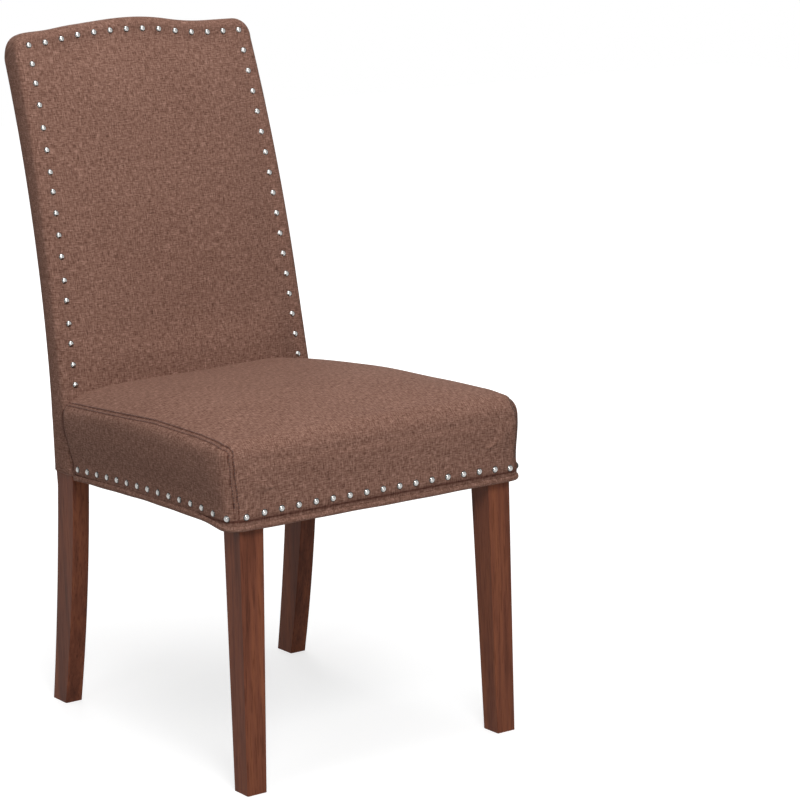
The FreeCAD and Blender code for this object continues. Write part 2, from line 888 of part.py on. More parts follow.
def seat_form(inset):
    """Whole seat form from its front face to inside the back. The inner skin has fewer rings."""
    face = inset - SIZES["padding"] - SIZES["fabric"]
    rounding = (5.0, 15.0, 28.0) if inset else (2.5, 9.0, 18.0, 30.0)
    runs = (0.0,) + rounding + (85.0, 190.0, 330.0, 462.0, 508.0 - inset)
    return Part.makeLoft([seat_ring(face + run, inset) for run in runs], True, True)


def camel(x):
    """Rise of the crest at a distance from the middle: a hollow arc, then a round one."""
    half = SIZES["crest_half"]
    bend = SIZES["crest_radius"]
    x = abs(x)
    if x >= half:
        return 0.0
    if x >= half / 2:
        return bend - math.sqrt(bend * bend - (half - x) ** 2)
    return SIZES["crest_rise"] - (bend - math.sqrt(bend * bend - x * x))


def back_half(height):
    """Half width of the back cover at a height."""
    low = SIZES["post_outer"] + SIZES["back_side_padding"] + SIZES["fabric"]
    top = SIZES["back_top"]
    return low - SIZES["lean_inward"] * (height - SIZES["back_low"]) / (top - SIZES["back_low"])


def front_bow(height):
    """How far the lower front of the back cover stands proud between the seat's underside and the bend."""
    low = SIZES["back_low"]
    bend = SIZES["bend_height"]
    if height >= bend:
        return 0.0
    share = (2 * height - low - bend) / (bend - low)
    return SIZES["front_bow"] * (1 - share * share)


def back_ring(side, share, margin, inset):
    """Section of the back from front to rear, in a plane that leans inward with the sides.

    The plane lies at a share of the half width, or at a margin from the side where share is None.
    """
    def across(height):
        half = back_half(height) - inset
        return side * (half - margin if share is None else half * share)

    top_x = across(SIZES["back_top"])
    edge = SIZES["back_edge_radius"]
    corner = SIZES["back_corner_radius"]
    from_side = margin if share is None else 1000.0
    thin = inset + drop(edge, from_side)
    top = SIZES["back_top"] + camel(top_x) - inset - drop(corner, from_side)
    nail_x = back_half(SIZES["back_top"]) - SIZES["back_nail_margin"]
    swell = SIZES["back_crown"] * max(0.0, 1 - (top_x / nail_x) ** 2)
    low = SIZES["back_low"]
    bend = SIZES["bend_height"]
    rear_bend = SIZES["rear_bend_height"]
    bevel = SIZES["back_top_radius"]
    nail = top - SIZES["top_nail_margin"] - 10
    pad = SIZES["padding"] + SIZES["fabric"] - thin
    rear_pad = SIZES["back_rear_padding"] + SIZES["fabric"] - thin

    def front(height, rise=0.0):
        return Vector(across(height), stile_front(height) - pad - rise, height)

    def rear(height):
        return Vector(across(height), stile_back(height) + rear_pad, height)

    top_front = top - bevel
    top_back = top - bevel - 8
    fore = front(top_front)
    aft = rear(top_back)
    crest_front = Vector(across(top), between(fore.y, aft.y, 0.32), top)
    crest_back = Vector(across(top - 4), between(fore.y, aft.y, 0.72), top - 4)
    nip = bevel * (1 - math.sqrt(0.5))
    front_nip = Vector(across(top - nip), between(fore.y, crest_front.y, 0.29), top - nip)
    back_nip = Vector(across(top - 4 - nip), between(aft.y, crest_back.y, 0.29), top - 4 - nip)
    points = [front(low), front(bend, swell), front(nail), fore, front_nip, crest_front, crest_back, back_nip,
              aft, rear(rear_bend), rear(low)]
    upper_middle = (bend + nail) / 2
    rear_middle = (top_back + rear_bend) / 2
    arcs = {
        0: front((low + bend) / 2, swell * 0.5 + SIZES["front_bow"]),
        1: front(upper_middle, swell * 0.85),
        8: rear(rear_middle),
    }
    return ring(points, arcs) if inset else rounded_ring(points, arcs, (4, 7))


def back_form(inset):
    """Whole back form, lofted from the left side to the right. The inner skin has fewer rings."""
    margins = (0.0, 5.0, 18.0) if inset else (0.0, 2.3, 8.0, 22.0)
    shares = (0.64, 0.32, 0.0)
    rings = [back_ring(-1, None, margin, inset) for margin in margins]
    rings += [back_ring(-1, share, 0.0, inset) for share in shares]
    rings += [back_ring(1, share, 0.0, inset) for share in reversed(shares[:-1])]
    rings += [back_ring(1, None, margin, inset) for margin in reversed(margins)]
    return Part.makeLoft(rings, True, True)


def prism(points, direction):
    """Solid of a flat polygon moved along a direction."""
    return Part.Face(Part.makePolygon(points + points[:1])).extrude(direction)


def seat_core():
    """Space inside the seat, and through the foot of the back, that the seat frame and webbing take up."""
    top = SIZES["rail_high"] + SIZES["webbing_thickness"] * 1.5
    below = 30.0
    end = SIZES["rear_rail_back"]
    front = rail_outer(0).value
    rear = rail_outer(end).value
    plan = [Vector(-front, 0, -below), Vector(front, 0, -below), Vector(rear, end, -below), Vector(-rear, end, -below)]
    core = prism(plan, Vector(0, 0, below + top))
    corners = [edge for edge in core.Edges if edge.BoundBox.ZLength > 10 and edge.BoundBox.YMax < 1]
    return core.makeFillet(SIZES["rail_corner_radius"], corners)


def side_panel_zone(side):
    """Part of the seat shell that the side panel takes: below the top seam, behind the corner seam."""
    seam_inset = 9.5
    bend = SIZES["waterfall_radius"] - seam_inset
    centre_depth = SIZES["waterfall_radius"] - SIZES["padding"] - SIZES["fabric"]
    centre_height = SIZES["seam_height"] - SIZES["waterfall_radius"]
    front = centre_depth - bend
    top = centre_height + bend
    end = 560.0
    points = [Vector(0, front, -5), Vector(0, front, centre_height), Vector(0, centre_depth, top),
              Vector(0, end, top), Vector(0, end, -5)]
    turn = bend * math.sqrt(0.5)
    arcs = {1: Vector(0, centre_depth - turn, centre_height + turn)}
    return Part.Face(ring(points, arcs)).extrude(X_AXIS * side * 300)


def back_envelope():
    """Space inside the back foam that the posts, rails and the hollow between them take up."""
    low = SIZES["back_low"] - 20
    top = SIZES["post_top"]
    rise = SIZES["crest_rise"] + 2
    knee = SIZES["knee_height"]
    points = [
        Vector(0, SIZES["knee_front"], low), Vector(0, SIZES["knee_front"], knee),
        Vector(0, SIZES["bend_front"], SIZES["bend_height"]),
        Vector(0, SIZES["post_top_front"], top), Vector(0, SIZES["post_top_front"] + 4, top + rise),
        Vector(0, SIZES["post_top_back"] - SIZES["bevel_depth"], top + rise),
        Vector(0, SIZES["post_top_back"] - SIZES["bevel_depth"], top),
        Vector(0, bevel_start().value, SIZES["bevel_height"]),
        Vector(0, SIZES["rear_bend"], SIZES["rear_bend_height"]), Vector(0, SIZES["knee_back"], knee),
        Vector(0, SIZES["knee_back"], low),
    ]
    front_middle = (SIZES["bend_height"] + top) / 2
    rear_middle = (SIZES["rear_bend_height"] + SIZES["bevel_height"]) / 2
    arcs = {
        2: Vector(0, stile_front(front_middle), front_middle),
        7: Vector(0, stile_back(rear_middle), rear_middle),
    }
    slab = Part.Face(ring(points, arcs)).extrude(X_AXIS * 500)
    slab.translate(X_AXIS * -250)
    half_top = post_half(top)
    outer = SIZES["post_outer"]
    start = SIZES["lean_start"]
    half = SIZES["crest_half"]
    rise = SIZES["crest_rise"]
    quarter = half * 0.75
    outline = [
        Vector(-outer, 0, low), Vector(outer, 0, low), Vector(outer, 0, start), Vector(half_top, 0, top),
        Vector(half, 0, top), Vector(half / 2, 0, top + rise / 2), Vector(-half / 2, 0, top + rise / 2),
        Vector(-half, 0, top), Vector(-half_top, 0, top), Vector(-outer, 0, start),
    ]
    bends = {
        4: Vector(quarter, 0, top + camel(quarter)),
        5: Vector(0, 0, top + rise),
        6: Vector(-quarter, 0, top + camel(quarter)),
    }
    window = Part.Face(ring(outline, bends)).extrude(Y_AXIS * 900)
    return slab.common(window)


def rear_panel_zone():
    """Part of the back shell that the outside back panel takes: inside the side edges, below the camel top."""
    forward = 12.0
    low = SIZES["back_low"] - 5
    top = SIZES["back_top"]
    bend = SIZES["rear_bend_height"]
    middle = (bend + top) / 2
    end = SIZES["post_top_back"] + 80
    points = [
        Vector(0, stile_back(low) - forward, low), Vector(0, stile_back(bend) - forward, bend),
        Vector(0, stile_back(top) - forward, top), Vector(0, end, top), Vector(0, end, low),
    ]
    arcs = {1: Vector(0, stile_back(middle) - forward, middle)}
    slab = Part.Face(ring(points, arcs)).extrude(X_AXIS * 500)
    slab.translate(X_AXIS * -250)
    inside = SIZES["back_edge_radius"] + 1
    edge = top - SIZES["rear_panel_margin"]
    half_low = back_half(low) - inside
    half_top = back_half(edge) - inside
    half = SIZES["crest_half"]
    rise = SIZES["crest_rise"]
    quarter = half * 0.75
    outline = [
        Vector(-half_low, 0, low), Vector(half_low, 0, low), Vector(half_top, 0, edge), Vector(half, 0, edge),
        Vector(half / 2, 0, edge + rise / 2), Vector(-half / 2, 0, edge + rise / 2), Vector(-half, 0, edge),
        Vector(-half_top, 0, edge),
    ]
    bends = {
        3: Vector(quarter, 0, edge + camel(quarter)),
        4: Vector(0, 0, edge + rise),
        5: Vector(-quarter, 0, edge + camel(quarter)),
    }
    window = Part.Face(ring(outline, bends)).extrude(Y_AXIS * 900)
    return slab.common(window)


def in_world(shape, placement):
    moved = shape.copy()
    moved.Placement = placement.multiply(moved.Placement)
    return moved


back_outer = in_world(back_form(0.0), WORLD)
back_inner = in_world(back_form(SIZES["fabric"]), WORLD)
seat_outer = in_world(seat_form(0.0), SEAT)
seat_inner = in_world(seat_form(SIZES["fabric"]), SEAT)
seat_shell = seat_outer.cut(seat_inner).cut(back_outer)
left_zone = in_world(side_panel_zone(-1), SEAT)
right_zone = in_world(side_panel_zone(1), SEAT)
doc.recompute()
seat_frame_space = in_world(seat_core(), SEAT)
post_space = in_world(back_envelope(), WORLD)
straps = in_world(back_webbing_shape(), WORLD)
panel_zone = in_world(rear_panel_zone(), WORLD)
back_shell = back_outer.cut(back_inner).cut(seat_frame_space).cut(post_space)
foam_in_back = back_inner.cut(post_space).cut(straps).cut(seat_frame_space)
foam_in_seat = seat_inner.cut(seat_frame_space).cut(back_outer)


# Welt along the lower edge of the seat

def seat_welt():
    """Band with a rounded outside that follows the plan of the seat and closes on the rails."""
    body = new_body("seat_welt_band")
    place_seat(body)
    proud = SIZES["welt_proud"]
    face = -SIZES["padding"] - SIZES["fabric"] - proud
    bend = SIZES["seat_corner_radius"] + proud
    end = 462.0
    front_half = seat_half(face) + proud
    slope = math.atan2(seat_half(0) - seat_half(end), end)
    centre_depth = face + bend
    tangent = Vector(math.cos(slope), math.sin(slope), 0)
    side_at = seat_half(centre_depth) + proud
    centre_half = side_at - bend / math.cos(slope)
    touch = Vector(centre_half, centre_depth, 0) + tangent * bend
    rear_half = seat_half(end) + proud
    bend_size = length(bend)
    corners = [
        (rail_outer(end), end), (rail_outer(0), 0), (rail_outer(0) * -1, 0), (rail_outer(end) * -1, end),
        (-rear_half, end), (-touch.x, touch.y), (-centre_half, face, bend_size),
        (centre_half, face), (touch.x, touch.y, bend_size), (rear_half, end),
    ]
    sketch = add_sketch(body, "welt_plan", "XY_Plane", [[tuple(c) for c in corners]])
    add_pad(body, "welt_pad", sketch, size("cover_low"))

    def outside(edge):
        middle = edge.valueAt((edge.FirstParameter + edge.LastParameter) / 2)
        level = edge.BoundBox.ZLength < 0.01
        return level and (abs(middle.x) > seat_half(middle.y) or middle.y < -proud / 2)

    plane_edges(body, "welt_round", size("welt_round"), outside)
    return body


# Dust cover

def dust_sheet():
    low = size("rail_low") - size("dust_thickness")
    inside = 5
    end = 500
    corners = [
        ((rail_outer(inside) - inside) * -1, inside), (rail_outer(inside) - inside, inside),
        (rail_outer(end) - inside, end), ((rail_outer(end) - inside) * -1, end),
    ]
    return seat_board("dust_sheet", corners, low, size("rail_low"))


# Nails: shallow faceted domes that sit on the cover

NAIL_SIDES = 8


def nail(base, outward):
    """Head with a steep rim and a flat crown half as wide as the rim."""
    radius = SIZES["nail_radius"]
    turn = [2 * math.pi * step / NAIL_SIDES for step in range(NAIL_SIDES)]
    rim = [Vector(radius * math.cos(a), radius * math.sin(a), 0) for a in turn]
    crown = [Vector(point.x / 2, point.y / 2, SIZES["nail_rise"]) for point in rim]
    faces = [Part.Face(Part.makePolygon(rim + rim[:1])), Part.Face(Part.makePolygon(crown + crown[:1]))]
    for index in range(NAIL_SIDES):
        after = (index + 1) % NAIL_SIDES
        corners = [rim[index], rim[after], crown[after], crown[index], rim[index]]
        faces.append(Part.Face(Part.makePolygon(corners)))
    shell = Part.makeShell(faces)
    head = Part.makeSolid(shell)
    if head.Volume < 0:
        head.reverse()
    head.Placement = Placement(base, Rotation(Z_AXIS, outward))
    return head


def back_nail(x, height):
    rise = 5.0
    pad = SIZES["padding"] + SIZES["fabric"]
    slope = (stile_front(height + rise) - stile_front(height - rise)) / (2 * rise)
    base = Vector(x, stile_front(height) - pad - front_bow(height), height)
    return nail(base, Vector(0, -1, slope).normalize())


def crest_height(x):
    return SIZES["back_top"] + camel(x) - SIZES["top_nail_margin"]


COLUMN_NAILS = 17
TOP_NAILS = 12
FRONT_NAILS = 17
SIDE_NAILS = 15


def back_column(side):
    top = crest_height(300)
    nails = []
    for index in range(COLUMN_NAILS):
        height = between(SIZES["lowest_back_nail"], top, index / (COLUMN_NAILS - 1))
        nails.append(back_nail(side * (back_half(height) - SIZES["back_nail_margin"]), height))
    return Part.makeCompound(nails)


def back_top_row():
    half = back_half(crest_height(300)) - SIZES["back_nail_margin"]
    spots = [between(-half, half, (index + 1) / (TOP_NAILS + 1)) for index in range(TOP_NAILS)]
    return Part.makeCompound([back_nail(x, crest_height(x)) for x in spots])


def seat_front_row():
    face = -SIZES["padding"] - SIZES["fabric"]
    half = seat_half(face) - SIZES["seat_corner_radius"]
    spots = [between(-half, half, index / (FRONT_NAILS - 1)) for index in range(FRONT_NAILS)]
    return Part.makeCompound([nail(Vector(x, face, SIZES["nail_row_height"]), -Y_AXIS) for x in spots])


def seat_side_row(side):
    first = SIZES["seat_corner_radius"] - SIZES["padding"] - SIZES["fabric"]
    last = 441.0
    slope = (seat_half(0) - seat_half(SIZES["seat_depth"])) / SIZES["seat_depth"]
    outward = Vector(side, slope, 0).normalize()
    nails = []
    for index in range(SIDE_NAILS):
        depth = between(first, last, index / (SIDE_NAILS - 1))
        nails.append(nail(Vector(side * seat_half(depth), depth, SIZES["nail_row_height"]), outward))
    return Part.makeCompound(nails)


# Finished sub-parts
dowel_set = group("dowel_set", dowels)
bolt_set = group("bolt_set", bolts)
screw_set = group("screw_set", screws)
welt = seat_welt()
sheet_of_dust = dust_sheet()

keep("rear_post_left", cut("post_left", post_left, [dowel_set]))
keep("rear_post_right", cut("post_right", post_right, [dowel_set]))
keep("front_leg_left", cut("leg_left", leg_left, [shoulder, rail_left, bolt_set]))
keep("front_leg_right", cut("leg_right", leg_right, [shoulder, rail_right, bolt_set]))
keep("seat_rail_left", cut("rail_left", rail_left, [post_left, dowel_set, screw_set]))
keep("seat_rail_right", cut("rail_right", rail_right, [post_right, dowel_set, screw_set]))
keep("seat_rail_front", cut("rail_front", rail_front, [screw_set]))
keep("seat_rail_rear", cut("rail_rear", rail_rear, [dowel_set, screw_set]))
for name, block in blocks.items():
    keep(f"corner_block_{name}", cut(f"block_{name}", block, [bolt_set, screw_set]))
keep("crest_rail", cut("crest", crest, [dowel_set]))
keep("back_lower_rail", cut("lower", lower_rail, [dowel_set]))
keep("leg_bolts", bolt_set)
keep("leg_washers", group("washer_set", washers))
keep("leg_nuts", group("nut_set", nuts))
keep("block_screws", screw_set)
keep("frame_dowels", dowel_set)
keep("seat_webbing", shape_feature("seat_straps", seat_webbing_shape(), SEAT))
keep("back_webbing", shape_feature("back_straps", back_webbing_shape(), WORLD))
keep("seat_foam", shape_feature("foam_of_seat", foam_in_seat))
keep("back_foam", shape_feature("foam_of_back", foam_in_back))
keep("seat_cover_left", shape_feature("cover_left", seat_shell.common(left_zone)))
keep("seat_cover_right", shape_feature("cover_right", seat_shell.common(right_zone)))
keep("seat_cover_top", shape_feature("cover_top", seat_shell.cut(left_zone).cut(right_zone)))
keep("back_cover_rear", shape_feature("cover_rear", back_shell.common(panel_zone)))
keep("back_cover_front", shape_feature("cover_front", back_shell.cut(panel_zone)))
keep("seat_welt", cut("welt", welt, [leg_left, leg_right]))
keep("dust_cover", cut("dust", sheet_of_dust, [leg_left, leg_right, post_left, post_right]))
keep("back_nails_left", shape_feature("nails_back_left", back_column(-1), WORLD))
keep("back_nails_right", shape_feature("nails_back_right", back_column(1), WORLD))
keep("back_nails_top", shape_feature("nails_back_top", back_top_row(), WORLD))
keep("seat_nails_front", shape_feature("nails_seat_front", seat_front_row(), SEAT))
keep("seat_nails_left", shape_feature("nails_seat_left", seat_side_row(-1), SEAT))
keep("seat_nails_right", shape_feature("nails_seat_right", seat_side_row(1), SEAT))
doc.recompute()

for item in doc.Objects:
    if "Invalid" in item.State or "Error" in item.State:
        raise RuntimeError(f"{item.Name} failed: {item.State}")
for node, item in parts.items():
    if item.Shape.isNull() or not item.Shape.isValid():
        raise RuntimeError(f"{node} has no valid shape")

for node, item in parts.items():
    item.Shape.exportStep(f"parts/{node}.step")

whole = FreeCAD.BoundBox()
for node, item in parts.items():
    whole.add(item.Shape.BoundBox)
print(f"{len(parts)} sub-parts, box {whole}")
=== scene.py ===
import math

import bmesh
import bpy
import numpy as np
from mathutils import Matrix, Vector
from mathutils.bvhtree import BVHTree


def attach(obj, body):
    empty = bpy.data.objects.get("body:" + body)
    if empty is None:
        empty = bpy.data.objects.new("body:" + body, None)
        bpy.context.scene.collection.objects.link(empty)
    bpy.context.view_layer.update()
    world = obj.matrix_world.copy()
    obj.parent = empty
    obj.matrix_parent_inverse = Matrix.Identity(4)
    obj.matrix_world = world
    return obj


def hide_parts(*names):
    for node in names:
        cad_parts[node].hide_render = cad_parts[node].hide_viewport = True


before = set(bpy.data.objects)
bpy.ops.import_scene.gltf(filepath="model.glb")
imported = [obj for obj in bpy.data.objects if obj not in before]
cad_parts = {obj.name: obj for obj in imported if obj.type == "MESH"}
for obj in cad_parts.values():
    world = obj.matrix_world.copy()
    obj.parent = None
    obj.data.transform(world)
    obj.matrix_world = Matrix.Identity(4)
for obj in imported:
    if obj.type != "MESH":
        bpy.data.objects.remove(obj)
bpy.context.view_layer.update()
scene = bpy.context.scene

# Sizes in metres, from the part: depths run back from the front legs, heights from the floor
MM = 0.001
ORIGIN_DEPTH = 0.3249
COVER_PAD = 0.008
DIMPLE_WIDTH = 0.0085
DIMPLE_DEPTH = 0.0011

# The back
BACK_LOW = 0.350
BACK_TOP = 0.989
REAR_PAD = 0.005
NAIL_MARGIN = 0.022
TOP_ROW = BACK_TOP - 0.017
CREST_HALF = 0.130
CREST_HALF_LEFT = 0.160
CREST_RISE = 0.012
CREST_BEVEL = 0.014
CREST_FALL = 0.003
SIDE_ROUND = 0.013
TOP_CORNER = 0.022
REAR_PANEL_INSET = 0.0095
LEFT_NAIL_SHIFTS = np.array([2.7, 0.9, 0.9, -0.9, 1.8, 0, 3.6, 3.6, 4.5, 4.5, 1.8, 2.7, 3.6, 5.4, 5.85, 2.7,
                             -0.9]) * MM

# The seat, its heights from its own tilted plane
SEAT_HEIGHT = 0.372
SEAT_TILT = math.radians(2.3)
SEAT_LENGTH = 0.475
RAIL_HALF_FRONT = 0.2346
RAIL_HALF_REAR = 0.2099
SEAT_BACK_END = 0.500
SEAT_LOW = 0.0074
EDGE_HEIGHT = 0.113
WATERFALL = 0.026
TOP_EDGE = 0.016
CORNER_RADIUS = 0.025
CROWN = 0.023
CROWN_RUN = 0.190
NAIL_ROW = 0.018
ROW_GAP = 0.0030
WELT_REACH = 0.0052
WELT_RISE = 0.0043
SEAM_SPOTS = np.array([(-4.6, 12), (-4.6, 40), (-4.6, 84), (-1, 101), (5, 106), (22, 109.5), (40, 111), (80, 113.5),
                       (120, 115), (200, 117.5), (300, 115), (400, 112), (472, 109.5), (545, 107)]) * MM


# Mesh building

def smooth_step(x):
    """3x^2 - 2x^3 on 0..1, flat outside."""
    x = np.clip(x, 0.0, 1.0)
    return x * x * (3 - 2 * x)


def bell(distance, width):
    """exp(-(d / w)^2): 1 at the middle, 0 far away."""
    return np.exp(-(distance / width) ** 2)


def dimple(across, up):
    """Dent of the cloth round a nail: exp(-(x^2 + z^2) / w^2)."""
    return np.exp(-(across ** 2 + up ** 2) / DIMPLE_WIDTH ** 2)


def drop(radius, distance):
    """Fall of a quarter round at a distance from its start: R - sqrt(R^2 - (R - d)^2)."""
    inside = np.clip(radius - distance, 0.0, radius)
    return radius - np.sqrt(radius * radius - inside * inside)


def unit(vectors):
    """Vectors brought to a length of 1."""
    return vectors / np.linalg.norm(vectors, axis=-1, keepdims=True)


def way_along(line):
    """Length from a flat line's start to each of its points."""
    return np.concatenate([[0], np.cumsum(np.hypot(*np.diff(line, axis=0).T))])


def quarter(steps):
    """Angles of a quarter turn without its end."""
    return np.linspace(0, math.pi / 2, steps, endpoint=False)


def grid_faces(rows, columns, wrap):
    """Quads of a grid; with wrap its last column joins the first."""
    across = columns if wrap else columns - 1
    i, j = np.meshgrid(np.arange(rows - 1), np.arange(across), indexing="ij")
    after = (j + 1) % columns
    return np.stack([i * columns + j, i * columns + after, (i + 1) * columns + after, (i + 1) * columns + j], -1)


def tube_faces(rows, columns, count):
    """Faces of equal closed tubes of rows x columns points, one tube after another."""
    faces = grid_faces(rows, columns, True).reshape(-1, 4)
    return (faces[None] + (np.arange(count) * rows * columns)[:, None, None]).reshape(-1, 4)


def spokes(wide, tall, count):
    """Directions round each axis, wide cos a + tall sin a, as (tube, 1, turn, xyz)."""
    angle = np.linspace(0, 2 * math.pi, count, endpoint=False)[None, None, :, None]
    return wide[:, None, None] * np.cos(angle) + tall[:, None, None] * np.sin(angle)


def make_piece(name, points, faces, materials, uv=None, attributes=None):
    """Smooth mesh from arrays: points (n, 3), faces (m, 4), uv (m, 4, 2), attributes {name: (n,)}."""
    faces = faces.reshape(-1, faces.shape[-1])
    mesh = bpy.data.meshes.new(name)
    mesh.vertices.add(len(points))
    mesh.vertices.foreach_set("co", points.astype(np.float32).ravel())
    corners = faces.shape[1]
    mesh.loops.add(faces.size)
    mesh.loops.foreach_set("vertex_index", faces.astype(np.int32).ravel())
    mesh.polygons.add(len(faces))
    mesh.polygons.foreach_set("loop_start", np.arange(len(faces), dtype=np.int32) * corners)
    mesh.polygons.foreach_set("use_smooth", np.ones(len(faces), dtype=bool))
    if uv is not None:
        mesh.uv_layers.new(name="Cloth").data.foreach_set("uv", uv.astype(np.float32).ravel())
    for key, values in (attributes or {}).items():
        mesh.attributes.new(key, "FLOAT", "POINT").data.foreach_set("value", values.astype(np.float32).ravel())
    mesh.update(calc_edges=True)
    mesh.validate()
    for material in materials:
        mesh.materials.append(material)
    piece = bpy.data.objects.new(name, mesh)
    scene.collection.objects.link(piece)
    return piece


def weld(piece, distance=1e-6):
    """Joins the points that a closed pole or end brings together."""
    mesh = bmesh.new()
    mesh.from_mesh(piece.data)
    bmesh.ops.remove_doubles(mesh, verts=mesh.verts, dist=distance)
    mesh.to_mesh(piece.data)
    mesh.free()
    return piece


def corner_uv(cloth):
    """Uv of each face's corners, from the cloth's own coordinates on the grid."""
    return np.stack([cloth[:-1, :-1], cloth[:-1, 1:], cloth[1:, 1:], cloth[1:, :-1]], 2)


def placed(right, up, back, place):
    """Matrix of an object with these three axes at this place."""
    matrix = np.eye(4)
    matrix[:3] = np.stack([right, up, back, place], 1)
    return Matrix(matrix.tolist())


# Materials

def new_material(name):
    """Empty material with one shader joined to its output."""
    material = bpy.data.materials.new(name)
    material.use_nodes = True
    tree = material.node_tree
    tree.nodes.clear()
    out = tree.nodes.new("ShaderNodeOutputMaterial")
    shader = tree.nodes.new("ShaderNodeBsdfPrincipled")
    tree.links.new(shader.outputs[0], out.inputs[0])
    return material, tree, shader


def node(tree, kind, **settings):
    """Shader node with its settings."""
    made = tree.nodes.new(kind)
    for key, value in settings.items():
        setattr(made, key, value)
    return made


def link(tree, source, target):
    """Joins two sockets."""
    tree.links.new(source, target)


def set_sockets(made, values):
    """Fixed values for a node's sockets, as {name: value}."""
    for key, value in values.items():
        made.inputs[key].default_value = value


def ramp(tree, source, stops):
    """Colour ramp over a value, its stops as (place, colour)."""
    made = tree.nodes.new("ShaderNodeValToRGB")
    link(tree, source, made.inputs[0])
    elements = made.color_ramp.elements
    elements[0].position, elements[0].color = stops[0][0], (*stops[0][1], 1)
    elements[1].position, elements[1].color = stops[-1][0], (*stops[-1][1], 1)
    for place, colour in stops[1:-1]:
        elements.new(place).color = (*colour, 1)
    return made.outputs[0]


def math_node(tree, operation, first, second=None, third=None, clamp=False):
    """Sum, product or the like of sockets and numbers."""
    made = node(tree, "ShaderNodeMath", operation=operation, use_clamp=clamp)
    for socket, value in zip(made.inputs, (first, second, third)):
        if value is None:
            continue
        if isinstance(value, (int, float)):
            socket.default_value = value
        else:
            link(tree, value, socket)
    return made.outputs[0]


def mix_node(tree, factor, first, second, **settings):
    """Colour between a socket's and a fixed one."""
    made = node(tree, "ShaderNodeMix", data_type="RGBA", **settings)
    link(tree, factor, made.inputs["Factor"])
    link(tree, first, made.inputs["A"])
    made.inputs["B"].default_value = (*second, 1)
    return made.outputs["Result"]


def bump_node(tree, height, shader, strength, distance):
    """Relief of a height on a shader."""
    made = node(tree, "ShaderNodeBump")
    set_sockets(made, {"Strength": strength, "Distance": distance})
    link(tree, height, made.inputs["Height"])
    link(tree, made.outputs[0], shader.inputs["Normal"])


def seen_rays(tree):
    """1 on camera, glossy and transmission rays, 0 on the rays that light the chair."""
    rays = node(tree, "ShaderNodeLightPath")
    seen = math_node(tree, "MAXIMUM", rays.outputs["Is Camera Ray"], rays.outputs["Is Glossy Ray"])
    return math_node(tree, "MAXIMUM", seen, rays.outputs["Is Transmission Ray"])


def noise(tree, vector, scale, stretch=(1, 1, 1), detail=2.0, roughness=0.5, offset=(0, 0, 0)):
    """Noise value, its space stretched per axis."""
    mapping = node(tree, "ShaderNodeMapping")
    set_sockets(mapping, {"Scale": stretch, "Location": offset})
    link(tree, vector, mapping.inputs[0])
    made = node(tree, "ShaderNodeTexNoise")
    set_sockets(made, {"Scale": scale, "Detail": detail, "Roughness": roughness})
    link(tree, mapping.outputs[0], made.inputs[0])
    return made.outputs["Fac"]


def cloth_material(name, dark, middle, light):
    """Heathered plain weave: threads both ways, slubs along each, soft clouds of tone, and painted shade in the
    creases of the seams.
    """
    material, tree, shader = new_material(name)
    vector = node(tree, "ShaderNodeUVMap", uv_map="Cloth").outputs[0]
    weft = noise(tree, vector, 60, (2.2, 10.0, 4.0), 3.0, 0.6)
    warp = noise(tree, vector, 60, (10.0, 1.8, 4.0), 3.0, 0.6, (3.1, 1.7, 0))
    slub = noise(tree, vector, 22, (2.6, 20.0, 4.0), 1.0, 0.4, (7.7, 2.2, 0))
    slub_up = noise(tree, vector, 22, (20.0, 2.6, 4.0), 1.0, 0.4, (1.3, 9.2, 0))
    cloud = noise(tree, vector, 11, (1, 1, 1), 3.0, 0.5, (4, 4, 0))
    threads = math_node(tree, "MULTIPLY", math_node(tree, "ADD", weft, warp), 0.5)
    tone = math_node(tree, "ADD", threads, math_node(tree, "MULTIPLY_ADD", cloud, 0.05, -0.025))
    colour = ramp(tree, tone, [(0.36, dark), (0.5, middle), (0.64, light)])
    slub_mask = math_node(tree, "MULTIPLY_ADD", math_node(tree, "MAXIMUM", slub, slub_up), 9.0, -5.9, clamp=True)
    thin_mask = math_node(tree, "MULTIPLY_ADD", math_node(tree, "MINIMUM", slub, slub_up), -9.0, 3.1, clamp=True)
    colour = mix_node(tree, math_node(tree, "MULTIPLY", thin_mask, 0.55), colour, [c * 0.8 for c in dark])
    colour = mix_node(tree, math_node(tree, "MULTIPLY", slub_mask, 0.4), colour, [c * 1.3 for c in light])
    # The seam attribute is painted shade: it darkens the colour in the creases towards (0.28, 0.16, 0.145).
    seam = node(tree, "ShaderNodeAttribute", attribute_name="seam").outputs["Fac"]
    colour = mix_node(tree, seam, colour, (0.28, 0.16, 0.145), blend_type="MULTIPLY")
    link(tree, colour, shader.inputs["Base Color"])
    fine = node(tree, "ShaderNodeTexChecker")
    fine.inputs["Scale"].default_value = 1250
    link(tree, vector, fine.inputs[0])
    height = math_node(tree, "MULTIPLY_ADD", fine.outputs["Fac"], 0.25, threads)
    height = math_node(tree, "MULTIPLY_ADD", slub_mask, 0.3, height)
    bump_node(tree, height, shader, 0.55, 0.0008)
    set_sockets(shader, {"Roughness": 0.88, "Specular IOR Level": 0.06, "Sheen Weight": 0.03,
                         "Sheen Roughness": 0.4, "Sheen Tint": (0.9, 0.7, 0.6, 1)})
    return material


